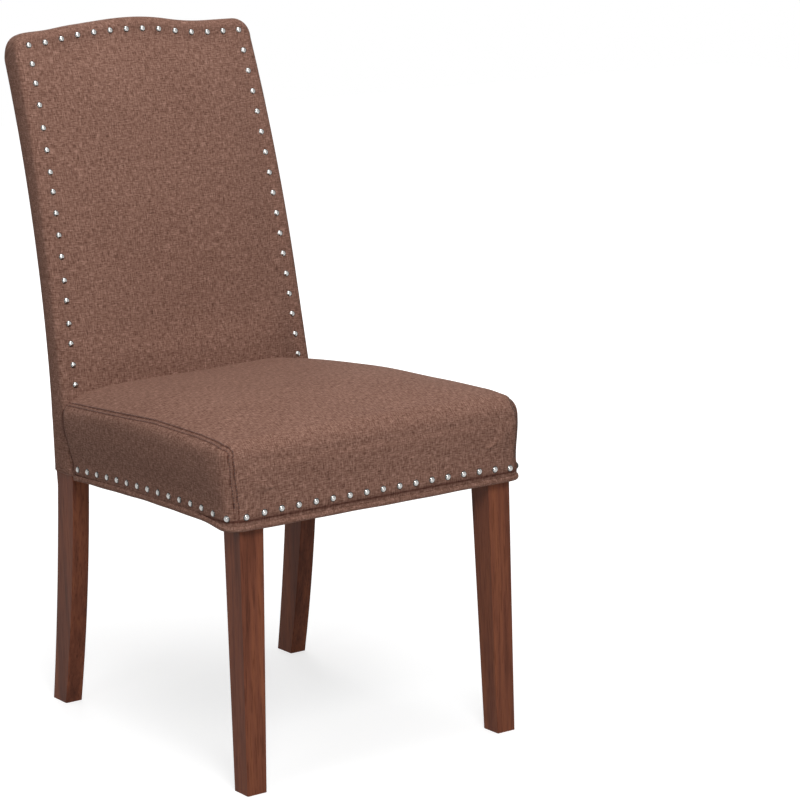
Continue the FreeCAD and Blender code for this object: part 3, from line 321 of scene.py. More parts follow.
def wood_material(name, dark, middle, light, roughness, specular=0.5, grain=(1, 1, 0.05)):
    """Wood: grain drawn long along one axis, dark pores, and soft bands of tone."""
    material, tree, shader = new_material(name)
    vector = node(tree, "ShaderNodeTexCoord").outputs["Object"]
    bands = noise(tree, vector, 26, grain, 3.0, 0.55)
    figure = noise(tree, vector, 130, grain, 4.0, 0.6, (0.4, 0.2, 0))
    pores = noise(tree, vector, 620, grain, 2.0, 0.5, (0.1, 0.7, 0))
    tone = math_node(tree, "MULTIPLY_ADD", figure, 0.45, math_node(tree, "MULTIPLY", bands, 0.6))
    colour = ramp(tree, tone, [(0.36, dark), (0.52, middle), (0.68, light)])
    dots = math_node(tree, "MULTIPLY_ADD", pores, -7.0, 3.3, clamp=True)
    dots = math_node(tree, "MULTIPLY", dots, 0.55)
    link(tree, mix_node(tree, dots, colour, (0.35, 0.28, 0.25), blend_type="MULTIPLY"), shader.inputs["Base Color"])
    bump_node(tree, figure, shader, 0.25, 0.0003)
    link(tree, math_node(tree, "MULTIPLY_ADD", figure, 0.18, roughness - 0.06), shader.inputs["Roughness"])
    shader.inputs["Specular IOR Level"].default_value = specular
    return material


def metal_material(name, colour, roughness, mottling=0.06):
    """Plated metal: faint clouds of tone, fine scratches in its roughness, and painted shade that darkens the rim of
    each dome nearly to black.
    """
    material, tree, shader = new_material(name)
    vector = node(tree, "ShaderNodeTexCoord").outputs["Object"]
    cloud = noise(tree, vector, 220, (1, 1, 1), 3.0, 0.6)
    scratch = noise(tree, vector, 900, (1, 0.2, 3), 2.0, 0.5)
    light = [min(c * (1 + mottling * 2), 1) for c in colour]
    dark = [c * (1 - mottling * 3) for c in colour]
    clouded = ramp(tree, cloud, [(0.3, dark), (0.5, colour), (0.7, light)])
    # Painted shade at the dome's rim, where it meets the cloth: the colour falls to 0.14 of itself.
    rim_shade = node(tree, "ShaderNodeAttribute", attribute_name="rim_shade").outputs["Fac"]
    link(tree, mix_node(tree, rim_shade, clouded, [c * 0.14 for c in colour]), shader.inputs["Base Color"])
    link(tree, math_node(tree, "MULTIPLY_ADD", scratch, 0.16, roughness - 0.08), shader.inputs["Roughness"])
    shader.inputs["Metallic"].default_value = 1.0
    return material


def plain_fibre(name, dark, light, scale, roughness=0.9, bump_height=0.0005):
    """Strap, dust cloth or thread: speckled tone with a relief of the same cells."""
    material, tree, shader = new_material(name)
    vector = node(tree, "ShaderNodeTexCoord").outputs["Object"]
    speck = noise(tree, vector, scale, (1, 1, 1), 4.0, 0.7)
    cells = node(tree, "ShaderNodeTexVoronoi")
    cells.inputs["Scale"].default_value = scale * 1.7
    link(tree, vector, cells.inputs[0])
    tone = math_node(tree, "MULTIPLY_ADD", cells.outputs["Distance"], 0.4, math_node(tree, "MULTIPLY", speck, 0.7))
    link(tree, ramp(tree, tone, [(0.3, dark), (0.7, light)]), shader.inputs["Base Color"])
    bump_node(tree, tone, shader, 0.5, bump_height)
    shader.inputs["Roughness"].default_value = roughness
    return material


linen = cloth_material("brown_linen", (0.092, 0.043, 0.031), (0.200, 0.104, 0.076), (0.335, 0.195, 0.150))
stained = wood_material("red_brown_stain", (0.070, 0.021, 0.011), (0.152, 0.049, 0.027), (0.225, 0.075, 0.036),
                        0.48, specular=0.10)
plain_wood = wood_material("plain_hardwood", (0.3, 0.19, 0.1), (0.46, 0.31, 0.17), (0.58, 0.41, 0.25), 0.6,
                           grain=(0.06, 1, 1))
nickel = metal_material("bright_nickel", (0.42, 0.415, 0.405), 0.11)
zinc = metal_material("zinc_plate", (0.55, 0.56, 0.57), 0.36, 0.1)
strap_cloth = plain_fibre("strap_weave", (0.09, 0.075, 0.06), (0.2, 0.17, 0.14), 900)
dust_cloth = plain_fibre("black_dust_cloth", (0.008, 0.008, 0.009), (0.03, 0.03, 0.032), 700, 0.95, 0.0002)
thread = plain_fibre("dark_thread", (0.022, 0.009, 0.007), (0.055, 0.026, 0.020), 1800, 0.7, 0.0001)


# The back: curves of the part, as arrays over height and across

def hollow_arc(height, low, high, radius):
    """Depth on the arc of a radius through two (depth, height) points, hollow towards the front."""
    chord = np.array(high) - np.array(low)
    half = np.hypot(*chord) / 2
    behind = np.array([chord[1], -chord[0]]) / (2 * half)
    centre = (np.array(low) + np.array(high)) / 2 + behind * math.sqrt(radius * radius - half * half)
    return centre[0] - np.sqrt(np.maximum(radius * radius - (height - centre[1]) ** 2, 0))


def stile_front(height):
    """Front edge of the rear posts: straight to 0.600 m, then an arc of 2.136 m."""
    line = 0.4705 + (0.514 - 0.4705) * (height - 0.343) / (0.600 - 0.343)
    arc = hollow_arc(height, (0.514, 0.600), (0.6125, 0.975), 2.136)
    return np.where(height <= 0.600, line, arc)


def stile_back(height):
    """Back edge of the rear posts: straight to 0.460 m, then an arc of 1.833 m."""
    line = 0.518 + (0.526 - 0.518) * (height - 0.343) / (0.460 - 0.343)
    arc = hollow_arc(height, (0.526, 0.460), (0.6525, 0.971), 1.833)
    return np.where(height <= 0.460, line, arc)


def back_half(height):
    """Half width of the back cover, leaning in by 17 mm from bottom to top."""
    return 0.2185 - 0.017 * (height - BACK_LOW) / (BACK_TOP - BACK_LOW)


def camel(x):
    """Rise of the crest: a hollow arc out to half the hump, a round one over its middle.

    The stuffing lies fuller on the left: its arcs reach further out, with a bell of 2.4 mm on them at 105 mm,
    and a bell of 4 mm takes the corner down at 201.5 mm.
    """
    away = np.abs(x)
    half = np.where(x < 0, CREST_HALF_LEFT, CREST_HALF)
    radius = (half ** 2 / 4 + CREST_RISE ** 2 / 4) / CREST_RISE
    outer = radius - np.sqrt(np.maximum(radius ** 2 - (half - away) ** 2, 0))
    inner = CREST_RISE - (radius - np.sqrt(radius ** 2 - np.minimum(away, half) ** 2))
    rise = np.where(away >= half, 0.0, np.where(away >= half / 2, outer, inner))
    return rise + 0.0024 * bell(x + 0.105, 0.032) - 0.0040 * bell(x + 0.2015, 0.022)


def rise_inside(distance, reach):
    """1 - exp(-(d / reach)^1.4) inside a line, 0 outside it."""
    return 1 - np.exp(-(np.clip(distance, 0, None) / reach) ** 1.4)


def back_swell(x, z):
    """Padding inside the nail rows: 13 mm times the rise from the side and the rise from the top."""
    side = back_half(z) - NAIL_MARGIN - np.abs(x)
    top = TOP_ROW + camel(x) - z
    return 0.0130 * rise_inside(side, 0.033) * rise_inside(top, 0.045)


def back_rings():
    """Ring places across the back: (share of the inner width, margin from the side, shrink into the side)."""
    shrink = np.array([1.0, 0.82, 0.64, 0.48, 0.34, 0.22, 0.12, 0.05])
    edge = SIDE_ROUND * (1 - np.cos(quarter(10)))
    flat = np.array([SIDE_ROUND, 0.0145, 0.016, 0.018, 0.020])
    margin = np.concatenate([edge, flat])
    share = np.linspace(-1, 1, 85)
    left = [(-1.0, 0.0, s) for s in shrink] + [(-1.0, m, 0.0) for m in margin]
    right = [(1.0, m, 0.0) for m in margin[::-1]] + [(1.0, 0.0, s) for s in shrink[::-1]]
    return np.array(left + [(s, NAIL_MARGIN, 0.0) for s in share] + right)


def back_points():
    """Grid of rings by stations round each section, in the frame of the part, and the cloth's own coordinates.

    A section goes up the posts' front line less pad and swell, through a quarter turn on to the crest, back with
    a fall of 3 mm u^2, through a quarter turn down, down the posts' back line, and forward under the back.
    Rings past the sides shrink towards the section's middle.
    """
    share, margin, shrink = [column[:, None] for column in back_rings().T]
    sign = np.sign(share) * (margin < NAIL_MARGIN)

    def across(height):
        """Width of each ring at a height: its share of the half width, plus its way past the nail row."""
        return share * (back_half(height) - NAIL_MARGIN) + sign * (NAIL_MARGIN - margin)

    def shares(count):
        """Even shares of one stretch of the section, without its end."""
        return np.linspace(0, 1, count, endpoint=False)[None, :]

    thin = drop(SIDE_ROUND, margin) * 0.75
    rear_pad = REAR_PAD - 0.0016 - thin
    top = BACK_TOP + camel(across(np.array([[BACK_TOP]]))) - drop(TOP_CORNER, margin)
    low = BACK_LOW + 0.010 * smooth_step(1 - margin / SIDE_ROUND)
    bend = top - CREST_BEVEL
    front_z = low + (bend - low) * shares(120)
    front_y = stile_front(front_z) - (COVER_PAD - thin) - back_swell(across(front_z), front_z)
    front_edge = stile_front(bend) - (COVER_PAD - thin)
    rear_bend = bend - 0.008
    rear_edge = stile_back(rear_bend) + rear_pad
    crest_front = front_edge + (rear_edge - front_edge) * 0.34
    crest_back = front_edge + (rear_edge - front_edge) * 0.70
    turn = quarter(9)[None, :]
    along = shares(6)
    rear_z = rear_bend + (low - rear_bend) * shares(70)
    rear_y = stile_back(rear_z) + rear_pad
    under = shares(8)
    under_y = rear_y[:, -1:] + (front_y[:, :1] - rear_y[:, -1:]) * under
    z = np.concatenate([front_z, bend + CREST_BEVEL * np.sin(turn), top - CREST_FALL * along ** 2,
                        rear_bend + (top - CREST_FALL - rear_bend) * np.cos(turn), rear_z,
                        low - 0.0015 * np.sin(under * math.pi)], 1)
    y = np.concatenate([front_y, front_edge + (crest_front - front_edge) * (1 - np.cos(turn)),
                        crest_front + (crest_back - crest_front) * along,
                        crest_back + (rear_edge - crest_back) * np.sin(turn), rear_y, under_y], 1)
    x = across(z)
    middle = (stile_front(z) - COVER_PAD + stile_back(z) + REAR_PAD) / 2
    mid_z = np.clip(z, low + 0.012, top - 0.02)
    ease = shrink * (2 - shrink)
    u = x + np.sign(share) * shrink * 0.026
    v = z + np.maximum(y - front_y[:, -1:], 0) * (z > bend)
    y = y + (middle - y) * shrink
    z = z + (mid_z - z) * shrink
    x = x + np.sign(share) * ease * 0.0012
    points = np.stack([x, y - ORIGIN_DEPTH, z], -1)
    cloth = np.stack([u, v], -1)
    return points, np.concatenate([cloth, cloth[:, :1]], 1)


# The seat, worked out in its own tilted plane

def seat_to_part(points):
    """Tilt the seat's own frame back by 2.3 degrees and set it at its height."""
    x, y, z = points[..., 0], points[..., 1], points[..., 2]
    c, s = math.cos(SEAT_TILT), math.sin(SEAT_TILT)
    return np.stack([x, y * c + z * s - ORIGIN_DEPTH, z * c - y * s + SEAT_HEIGHT], -1)


def seat_half(depth):
    """Half width of the seat cover's flat side: the rails taper evenly from front to rear."""
    return RAIL_HALF_FRONT - (RAIL_HALF_FRONT - RAIL_HALF_REAR) * depth / SEAT_LENGTH + COVER_PAD


def edge_height(depth):
    """Height of the top's side edge, fuller half way back: H + 8.5 mm sin(pi (y - 20) / 440)."""
    return EDGE_HEIGHT + 0.0085 * np.sin(math.pi * np.clip((depth - 0.020) / 0.440, 0, 1))


def seat_crown(depth, x, width):
    """Crown of the top: a quarter sine up from the front edge, then a parabola that falls 5 mm to the back.

    Across it goes by 1 - |x / w|^n, with n from 2.5 at the front to 6 at the back, and 4.5 mm fuller on the right.
    """
    run = depth + COVER_PAD
    rising = CROWN * np.sin(np.minimum(run / CROWN_RUN, 1) * math.pi / 2)
    falling = CROWN - 0.005 * (np.clip(run - CROWN_RUN, 0, None) / (SEAT_LENGTH - CROWN_RUN)) ** 2
    height = np.where(run > CROWN_RUN, falling, rising)
    fuller = 0.0045 * smooth_step((x / width - 0.2) / 0.6) * smooth_step(run / 0.06)
    return height * (1 - np.abs(x / width) ** (2.5 + 3.5 * np.clip(run / SEAT_LENGTH, 0, 1))) + fuller


def edge_bow(depth):
    """Bow of the cover's lower edge: 3.5 mm sin(pi y / 460) up along the sides, a bell of 5.5 mm down in front."""
    return 0.0035 * np.sin(math.pi * np.clip(depth / 0.46, 0, 1)) - 0.0055 * bell(depth, 0.045)


def seam_path():
    """Side view of the seam as (depth, height), 1 mm apart: its spots joined, eased by a bell of 5 mm, and kept
    1.8 mm below the top's edge."""
    arc = way_along(SEAM_SPOTS)
    stops = np.arange(0, arc[-1], MM)
    line = np.stack([np.interp(stops, arc, SEAM_SPOTS[:, 0]), np.interp(stops, arc, SEAM_SPOTS[:, 1])], -1)
    reach = 12
    weight = bell(np.arange(-reach, reach + 1), 5.0)
    padded = np.concatenate([np.repeat(line[:1], reach, 0), line, np.repeat(line[-1:], reach, 0)])
    line = np.stack([np.convolve(padded[:, k], weight / weight.sum(), "valid") for k in (0, 1)], -1)
    edge = edge_height(line[:, 0]) - drop(WATERFALL, line[:, 0] + COVER_PAD)
    line[:, 1] = np.minimum(line[:, 1], edge - 0.0018)
    return line[14:-2]


def seam_distance(y, z):
    """Distance from the seam's chords in side view, positive on the side panel."""
    line = seam_path()
    result = np.full(y.shape, 1e3)
    for start, end in zip(line[:-1:4], line[4::4]):
        along = end - start
        size = np.hypot(*along)
        share = np.clip(((y - start[0]) * along[0] + (z - start[1]) * along[1]) / size ** 2, 0, 1)
        dy = y - start[0] - share * along[0]
        dz = z - start[1] - share * along[1]
        away = np.hypot(dy, dz)
        signed = np.where(along[0] * dz - along[1] * dy < 0, away, -away)
        result = np.where(away < np.abs(result), signed, result)
    return result


def seat_points():
    """Grid of rings from the front face to inside the back, and the cloth's own coordinates.

    A ring is a section across the seat: flat bottom, sides that puff, quarter-round top edges, and a crowned top.
    The rings' height falls by a quarter round at the front, and the first and last shrink to a line.
    """
    face = -COVER_PAD
    front_shrink = np.array([1.0, 0.9, 0.8, 0.7, 0.6, 0.5, 0.4, 0.3, 0.22, 0.15, 0.09, 0.04])
    turn = quarter(24)
    round_run = WATERFALL * (1 - np.cos(turn))
    body_run = np.linspace(WATERFALL, SEAT_BACK_END - face, 88)
    run = np.concatenate([0 * front_shrink, round_run, body_run, [SEAT_BACK_END - face] * 3])[:, None]
    shrink = np.concatenate([front_shrink, 0 * round_run, 0 * body_run, [0.2, 0.6, 1.0]])[:, None]
    depth = run + face
    half = seat_half(depth) - drop(CORNER_RADIUS, run)
    edge = edge_height(depth) - drop(WATERFALL, run)
    shoulder = edge - TOP_EDGE
    bottom = np.linspace(-1, 1, 14, endpoint=False)
    side = np.concatenate([np.linspace(0, 0.80, 20, endpoint=False), np.linspace(0.80, 1, 26, endpoint=False)])
    turn = quarter(40)
    right_z = SEAT_LOW + (shoulder - SEAT_LOW) * side
    edge_x = half - TOP_EDGE * (1 - np.cos(turn))
    edge_z = shoulder + TOP_EDGE * np.sin(turn)
    across = np.linspace(1, -1, 84, endpoint=False)
    top_half = half - TOP_EDGE
    x = np.concatenate([half * bottom, half + 0 * right_z, edge_x, top_half * across,
                        -edge_x[:, ::-1], -half + 0 * right_z[:, 1:]], 1)
    z = np.concatenate([SEAT_LOW + 0 * half * bottom, right_z, edge_z, edge + 0 * top_half * across,
                        edge_z[:, ::-1], SEAT_LOW + (shoulder - SEAT_LOW) * (1 - side[1:])], 1)
    y = depth + 0 * x
    on_top = np.clip((z - shoulder) / TOP_EDGE, 0, 1)
    z = z + seat_crown(depth, np.clip(x, -top_half, top_half), top_half) * on_top
    puff = smooth_step((z - 0.022) / 0.055) * smooth_step((edge + 0.004 - z) / 0.03)
    tuck = smooth_step((y - 0.452 - 0.17 * z) / 0.011)
    outwards = smooth_step((np.abs(x) - half + 0.015) / 0.015)
    x = x + np.sign(x) * (
        puff * np.where(x > 0, 0.0085 * smooth_step((run + 0.012) / 0.045), 0.0065 * smooth_step(run / 0.05))
        - 0.0060 * tuck) * outwards
    mid = (SEAT_LOW + edge) / 2
    spread = (edge - SEAT_LOW) / 2
    x = x * (1 - shrink * spread / half)
    z = z + (mid - z) * shrink
    y = np.where(run < 1e-9, y - 0.0025 * smooth_step(shrink * 3), y) - 0.003 * puff * (1 - smooth_step(run / 0.03))
    z = z + edge_bow(y) * smooth_step((0.045 - z) / 0.030)
    side_panel = (np.abs(x) > half - 0.0170) & (seam_distance(y, z) > 0)
    u = np.where(side_panel, y, x)
    v = np.where(side_panel, z, z + y)
    cloth = np.stack([u, v], -1)
    return np.stack([x, y, z], -1), np.concatenate([cloth, cloth[:, :1]], 1)


def surface_normals(points):
    """Unit normals of a grid of rings, from the cross product of its central differences."""
    down = np.gradient(points, axis=0)
    right = (np.roll(points, -1, 1) - np.roll(points, 1, 1)) / 2
    normal = np.cross(right, down)
    size = np.linalg.norm(normal, axis=-1, keepdims=True)
    return normal / np.maximum(size, 1e-12)


def resample(field, rows, columns, shape):
    """Bilinear values of a coarse grid's field (r, c, 3) at every row and column of the full closed rings."""
    def between(stops, count):
        """Index of the stop before each line of the full grid, and the share of the way to the next."""
        full = np.arange(count)
        before = np.clip(np.searchsorted(stops, full, side="right") - 1, 0, len(stops) - 2)
        return before, (full - stops[before]) / (stops[before + 1] - stops[before])

    field = np.concatenate([field, field[:, :1]], 1)
    i, a = between(rows, shape[0])
    j, b = between(np.append(columns, shape[1]), shape[1])
    a, b = a[:, None, None], b[None, :, None]
    low = field[i][:, j] * (1 - a) + field[i + 1][:, j] * a
    high = field[i][:, j + 1] * (1 - a) + field[i + 1][:, j + 1] * a
    return low * (1 - b) + high * b


def blown_up(points, held, step, cap):
    """Grid moved by cloth under air pressure, tried on every step-th point and eased twice.

    held is 1 where the cloth is fixed, and a move m becomes cap tanh(m / cap).
    """
    rows = np.unique(np.append(np.arange(0, points.shape[0], step), points.shape[0] - 1))
    columns = np.arange(0, points.shape[1], step)
    coarse = points[rows][:, columns]
    pins = held[rows][:, columns].ravel()
    piece = make_piece("cloth_trial", coarse.reshape(-1, 3), grid_faces(len(rows), len(columns), True), [])
    group = piece.vertex_groups.new(name="held")
    for level in np.unique(np.round(pins, 1)):
        group.add(np.flatnonzero(np.round(pins, 1) == level).tolist(), float(level), "REPLACE")
    frames = 20
    cloth = piece.modifiers.new("cloth", "CLOTH")
    cloth.settings.vertex_group_mass = "held"
    cloth.settings.use_pressure = True
    cloth.settings.uniform_pressure_force = 4.0
    cloth.settings.effector_weights.gravity = 0
    cloth.settings.quality = 6
    cloth.settings.tension_stiffness = 25
    cloth.settings.compression_stiffness = 25
    cloth.point_cache.frame_end = frames
    for frame_number in range(1, frames + 1):
        scene.frame_set(frame_number)
    moved = piece.evaluated_get(bpy.context.evaluated_depsgraph_get()).to_mesh()
    after = np.empty(len(moved.vertices) * 3, dtype=np.float32)
    moved.vertices.foreach_get("co", after)
    bpy.data.objects.remove(piece)
    scene.frame_set(1)
    shift = after.reshape(coarse.shape).astype(float) - coarse
    size = np.linalg.norm(shift, axis=-1, keepdims=True)
    shift *= np.tanh(size / cap) * cap / np.maximum(size, 1e-9)
    for _ in range(2):
        inner = shift[1:-1]
        around = (shift[:-2] + shift[2:] + np.roll(inner, 1, 1) + np.roll(inner, -1, 1)) / 4
        shift[1:-1] = (inner + around) / 2 * (1 - held[rows][1:-1][:, columns, None])
    return points + resample(shift, rows, columns, points.shape[:2])


def surface_tree(grid):
    """Search tree of a grid's surface, for pieces that sit on it."""
    faces = grid_faces(*grid.shape[:2], True).reshape(-1, 4)
    return BVHTree.FromPolygons(grid.reshape(-1, 3).tolist(), faces.tolist())


def drop_onto(tree, starts, direction):
    """Points and outward normals where rays meet the surface."""
    hits = [tree.ray_cast(Vector(start), Vector(direction))[:2] for start in starts]
    places = np.array([place[:] for place, _ in hits])
    normals = np.array([normal[:] for _, normal in hits])
    outward = normals @ np.array(direction, float) < 0
    return places, np.where(outward[:, None], normals, -normals)


def seam_on_surface(tree, side):
    """The seam cast on the seat from one side: points 1 mm apart, outward normals and sideways directions."""
    line = seam_path()
    arc = way_along(line)
    stops = np.arange(0, np.interp(0.476, line[200:, 0], arc[200:]), MM)
    starts = np.stack([np.full(len(stops), side * 0.30), np.interp(stops, arc, line[:, 0]),
                       np.interp(stops, arc, line[:, 1])], -1)
    places, normals = drop_onto(tree, starts, (-side, 0, 0))
    return places, normals, np.cross(normals, unit(np.gradient(places, axis=0))) * side


def distance_to_line(points, line, sideways):
    """Distance of points (n, 3) from the nearest of a line's samples, signed by its sideways direction.

    Within 20 mm of the line only: elsewhere 1000 m.
    """
    nearest = np.full(len(points), 1e3)
    signed = np.full(len(points), 1e3)
    for place, aside in zip(line, sideways):
        apart = points - place
        away = np.sqrt(np.einsum("ij,ij->i", apart, apart))
        closer = away < nearest
        nearest = np.where(closer, away, nearest)
        signed = np.where(closer, apart @ aside, signed)
    return np.where(nearest < 0.02, np.where(np.abs(signed) < nearest, signed, nearest), 1e3)


# Camera, at the photograph's view

def make_camera():
    """Camera with the place, turn and focal length fitted to the photograph's frame of 800 pixels."""
    frame_pixels, focal_pixels = 800, 2804
    azimuth, elevation, roll = np.radians([-35.16, 11.45, -1.38])
    back = np.array([math.sin(azimuth) * math.cos(elevation), -math.cos(azimuth) * math.cos(elevation),
                     math.sin(elevation)])
    right = unit(np.cross(-back, [0, 0, 1]))
    up = np.cross(right, -back)
    c, s = math.cos(roll), math.sin(roll)
    right, up = c * right + s * up, c * up - s * right
    place = np.array([-2.109, -3.049 - ORIGIN_DEPTH, 1.262])
    data = bpy.data.cameras.new("camera")
    data.sensor_width = 36
    data.lens = focal_pixels / frame_pixels * data.sensor_width
    data.clip_end = 50
    camera = bpy.data.objects.new("camera", data)
    camera.matrix_world = placed(right, up, back, place)
    scene.collection.objects.link(camera)
    scene.camera = camera


make_camera()


# Upholstery pieces

def column_nails(side):
    """Nail places (x, z) of one column up to the shoulder, the left ones set less evenly."""
    z = np.linspace(0.484, TOP_ROW, len(LEFT_NAIL_SHIFTS))
    if side < 0:
        z = z + LEFT_NAIL_SHIFTS
    return np.stack([side * (back_half(z) - NAIL_MARGIN), z], -1)


def top_nails():
    """Nail places (x, z) of the row that follows the camel top."""
    half = back_half(TOP_ROW) - NAIL_MARGIN
    x = np.linspace(-half, half, 14)[1:-1]
    return np.stack([x, TOP_ROW + camel(x) + 0.0030 * bell(x + 0.085, 0.06)], -1)


def back_details(grid):
    """Depth added to the front of the back: nail dimples, pulls that slant down from the top row's nails as bells
    fading over 55 mm, a soft fold inside the left column, and slow waves."""
    x, z = grid[..., 0], grid[..., 2]
    front = grid[..., 1] + ORIGIN_DEPTH < (stile_front(z) + stile_back(z)) / 2
    depth = 0 * x
    for nail_x, nail_z in np.concatenate([column_nails(-1), column_nails(1), top_nails()]):
        depth += DIMPLE_DEPTH * dimple(x - nail_x, z - nail_z)
    for nail_x, nail_z in top_nails()[5:]:
        across = (x - nail_x) * 0.80 + (z - nail_z) * 0.60
        along = (x - nail_x) * 0.60 - (z - nail_z) * 0.80
        depth += 0.0009 * smooth_step(along / 0.02) * bell(along, 0.055) * bell(across, 0.0055)
    fold = bell(x + back_half(z) - NAIL_MARGIN - 0.016, 0.006)
    depth -= 0.0009 * fold * smooth_step((z - 0.50) / 0.1) * smooth_step((0.965 - z) / 0.05)
    waves = np.sin(x * 21 + 3 * np.sin(z * 9)) * np.sin(z * 17 + x * 8 + 1)
    depth += 0.0006 * waves * smooth_step((back_half(z) - NAIL_MARGIN - np.abs(x)) / 0.05)
    moved = grid.copy()
    moved[..., 1] += depth * front
    return moved


back_grid, back_cloth = back_points()
x, z = back_grid[..., 0], back_grid[..., 2]
in_rows = np.minimum(back_half(z) - NAIL_MARGIN - np.abs(x), TOP_ROW + camel(x) - z)
facing = back_grid[..., 1] + ORIGIN_DEPTH < stile_front(z) - COVER_PAD + 0.006
held = 1 - smooth_step(in_rows / 0.012) * facing * smooth_step((z - 0.500) / 0.05)
back_grid = back_details(blown_up(back_grid, held, 3, 0.005))
back_pad = make_piece("back_upholstery", back_grid.reshape(-1, 3), grid_faces(*back_grid.shape[:2], True), [linen],
                      corner_uv(back_cloth))
weld(back_pad)
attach(back_pad, "root")
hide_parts("back_cover_front", "back_foam")
back_tree = surface_tree(back_grid)


def seat_row_places():
    """Nail places of the seat's front, left and right rows as (x, y, z) in the seat's own frame.

    The side rows give only the sign of x: they are cast on the cover. The front row falls 4.5 mm (x / w)^6.
    """
    half = seat_half(-COVER_PAD) - CORNER_RADIUS
    x = np.linspace(-half, half, 17)
    lowered = 0.0045 * (np.abs(x) / half) ** 6
    front = np.stack([x, 0 * x, NAIL_ROW - lowered], -1)
    y = np.linspace(0.0045, 0.441, 15)
    left = np.stack([-1 + 0 * y, y, NAIL_ROW + edge_bow(y)], -1)
    return front, left, left * [-1, 1, 1]


seat_grid, seat_cloth = seat_points()
x, y, z = seat_grid[..., 0], seat_grid[..., 1], seat_grid[..., 2]
flank = np.abs(x) > seat_half(y) - 0.035
held = np.maximum(1 - smooth_step((z - 0.030) / 0.02), smooth_step((y - 0.440) / 0.02))
held = np.maximum(held, 0.9 * bell(seam_distance(y, z), 0.006) * flank)
seat_grid = blown_up(seat_grid, held, 2, 0.004)
x, y, z = seat_grid[..., 0], seat_grid[..., 1], seat_grid[..., 2]
beside_seam = np.full(x.shape, 1e3)
plain_seat_tree = surface_tree(seat_grid)
for side in (-1, 1):
    seam_places, _, seam_sideways = seam_on_surface(plain_seat_tree, side)
    close = (x * side > 0.17) & (z > 0.0) & (y < 0.48)
    beside_seam[close] = distance_to_line(seat_grid[close], seam_places, seam_sideways)

# Relief: a sewn ridge, sunk stitch rows and seam line, nail dimples, puckers above the seam, and slow waves
on_flank = flank * (z > SEAT_LOW + 0.0015)
rows = bell(np.abs(beside_seam) - ROW_GAP, 0.0008) * on_flank
gap = bell(beside_seam, 0.0005) * on_flank
ridge = np.exp(-(beside_seam / 0.0040) ** 4) * on_flank
dimples = 0 * x
front_row, left_row, right_row = seat_row_places()
for nail_x, _, nail_z in front_row:
    dimples += dimple(x - nail_x, z - nail_z) * (y < -0.002)
for _, nail_y, nail_z in left_row:
    dimples += dimple(y - nail_y, z - nail_z) * flank
puckers = np.sin(y * 700 + 2 * np.sin(y * 90)) * bell(beside_seam + 0.008, 0.006) * on_flank
soft = np.sin(x * 19 + 2 * np.sin(y * 14)) * np.sin(y * 23 + x * 6) * smooth_step((z - 0.06) / 0.04) * (1 - ridge)
height = (ridge * 0.0008 - rows * 0.0008 - gap * 0.0003 - dimples * DIMPLE_DEPTH + puckers * 0.00018
          + soft * 0.0006)
seat_grid = seat_grid + surface_normals(seat_grid) * height[..., None]

# Painted shade of the cloth in its creases: along the stitch rows, above the welt, and where the sides meet the
# back; the seam attribute carries it
back_join_shade = bell(y - 0.466 - 0.17 * z, 0.005) * (np.abs(x) > seat_half(y) - 0.012)
shade = np.maximum.reduce([rows * 0.9, gap * 0.25, 0.9 * bell(z - SEAT_LOW - 0.001, 0.0022), 0.8 * back_join_shade])
seat_pad = make_piece("seat_upholstery", seat_to_part(seat_grid).reshape(-1, 3),
                      grid_faces(*seat_grid.shape[:2], True), [linen], corner_uv(seat_cloth), {"seam": shade})
weld(seat_pad)
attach(seat_pad, "root")
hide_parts("seat_cover_top", "seat_cover_left", "seat_cover_right", "seat_foam")
seat_tree = surface_tree(seat_grid)


def stitches(name, side):
    """Two rows of thread stitches, 3 mm to each side of the seam: 3.2 mm long, 4.6 mm apart, with sunk ends and a
    bowed middle, each a six-sided tube."""
    places, normals, sideways = seam_on_surface(seat_tree, side)
    stops = np.arange(2, len(places) - 10, 4.6)
    stations = []
    for shift in (-1.6, 0.0, 1.6):
        index = np.clip(np.round(stops + shift).astype(int), 0, len(places) - 1)
        rows = [places[index] + sideways[index] * gap for gap in (-ROW_GAP, ROW_GAP)]
        found = [seat_tree.find_nearest(Vector(spot)) for spot in np.concatenate(rows)]
        stations.append(np.array([hit[0][:] for hit in found]))
    first, middle, last = stations
    index = np.round(stops).astype(int)
    out = np.concatenate([normals[index], normals[index]])
    sunk, raised = out * 0.0003, out * 0.00025
    spine = np.stack([first - sunk, first * 0.6 + middle * 0.4 + raised, last * 0.6 + middle * 0.4 + raised,
                      last - sunk], 1)
    along = unit(spine[:, 3] - spine[:, 0])
    radius = np.array([0.0001, 0.0005, 0.0005, 0.0001])
    points = spine[:, :, None] + spokes(np.cross(along, out), out, 6) * radius[None, :, None, None]
    piece = make_piece(name, seat_to_part(points).reshape(-1, 3), tube_faces(4, 6, len(points)), [thread])
    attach(piece, "root")
    return piece


stitches("seam_stitches_left", -1)
stitches("seam_stitches_right", 1)


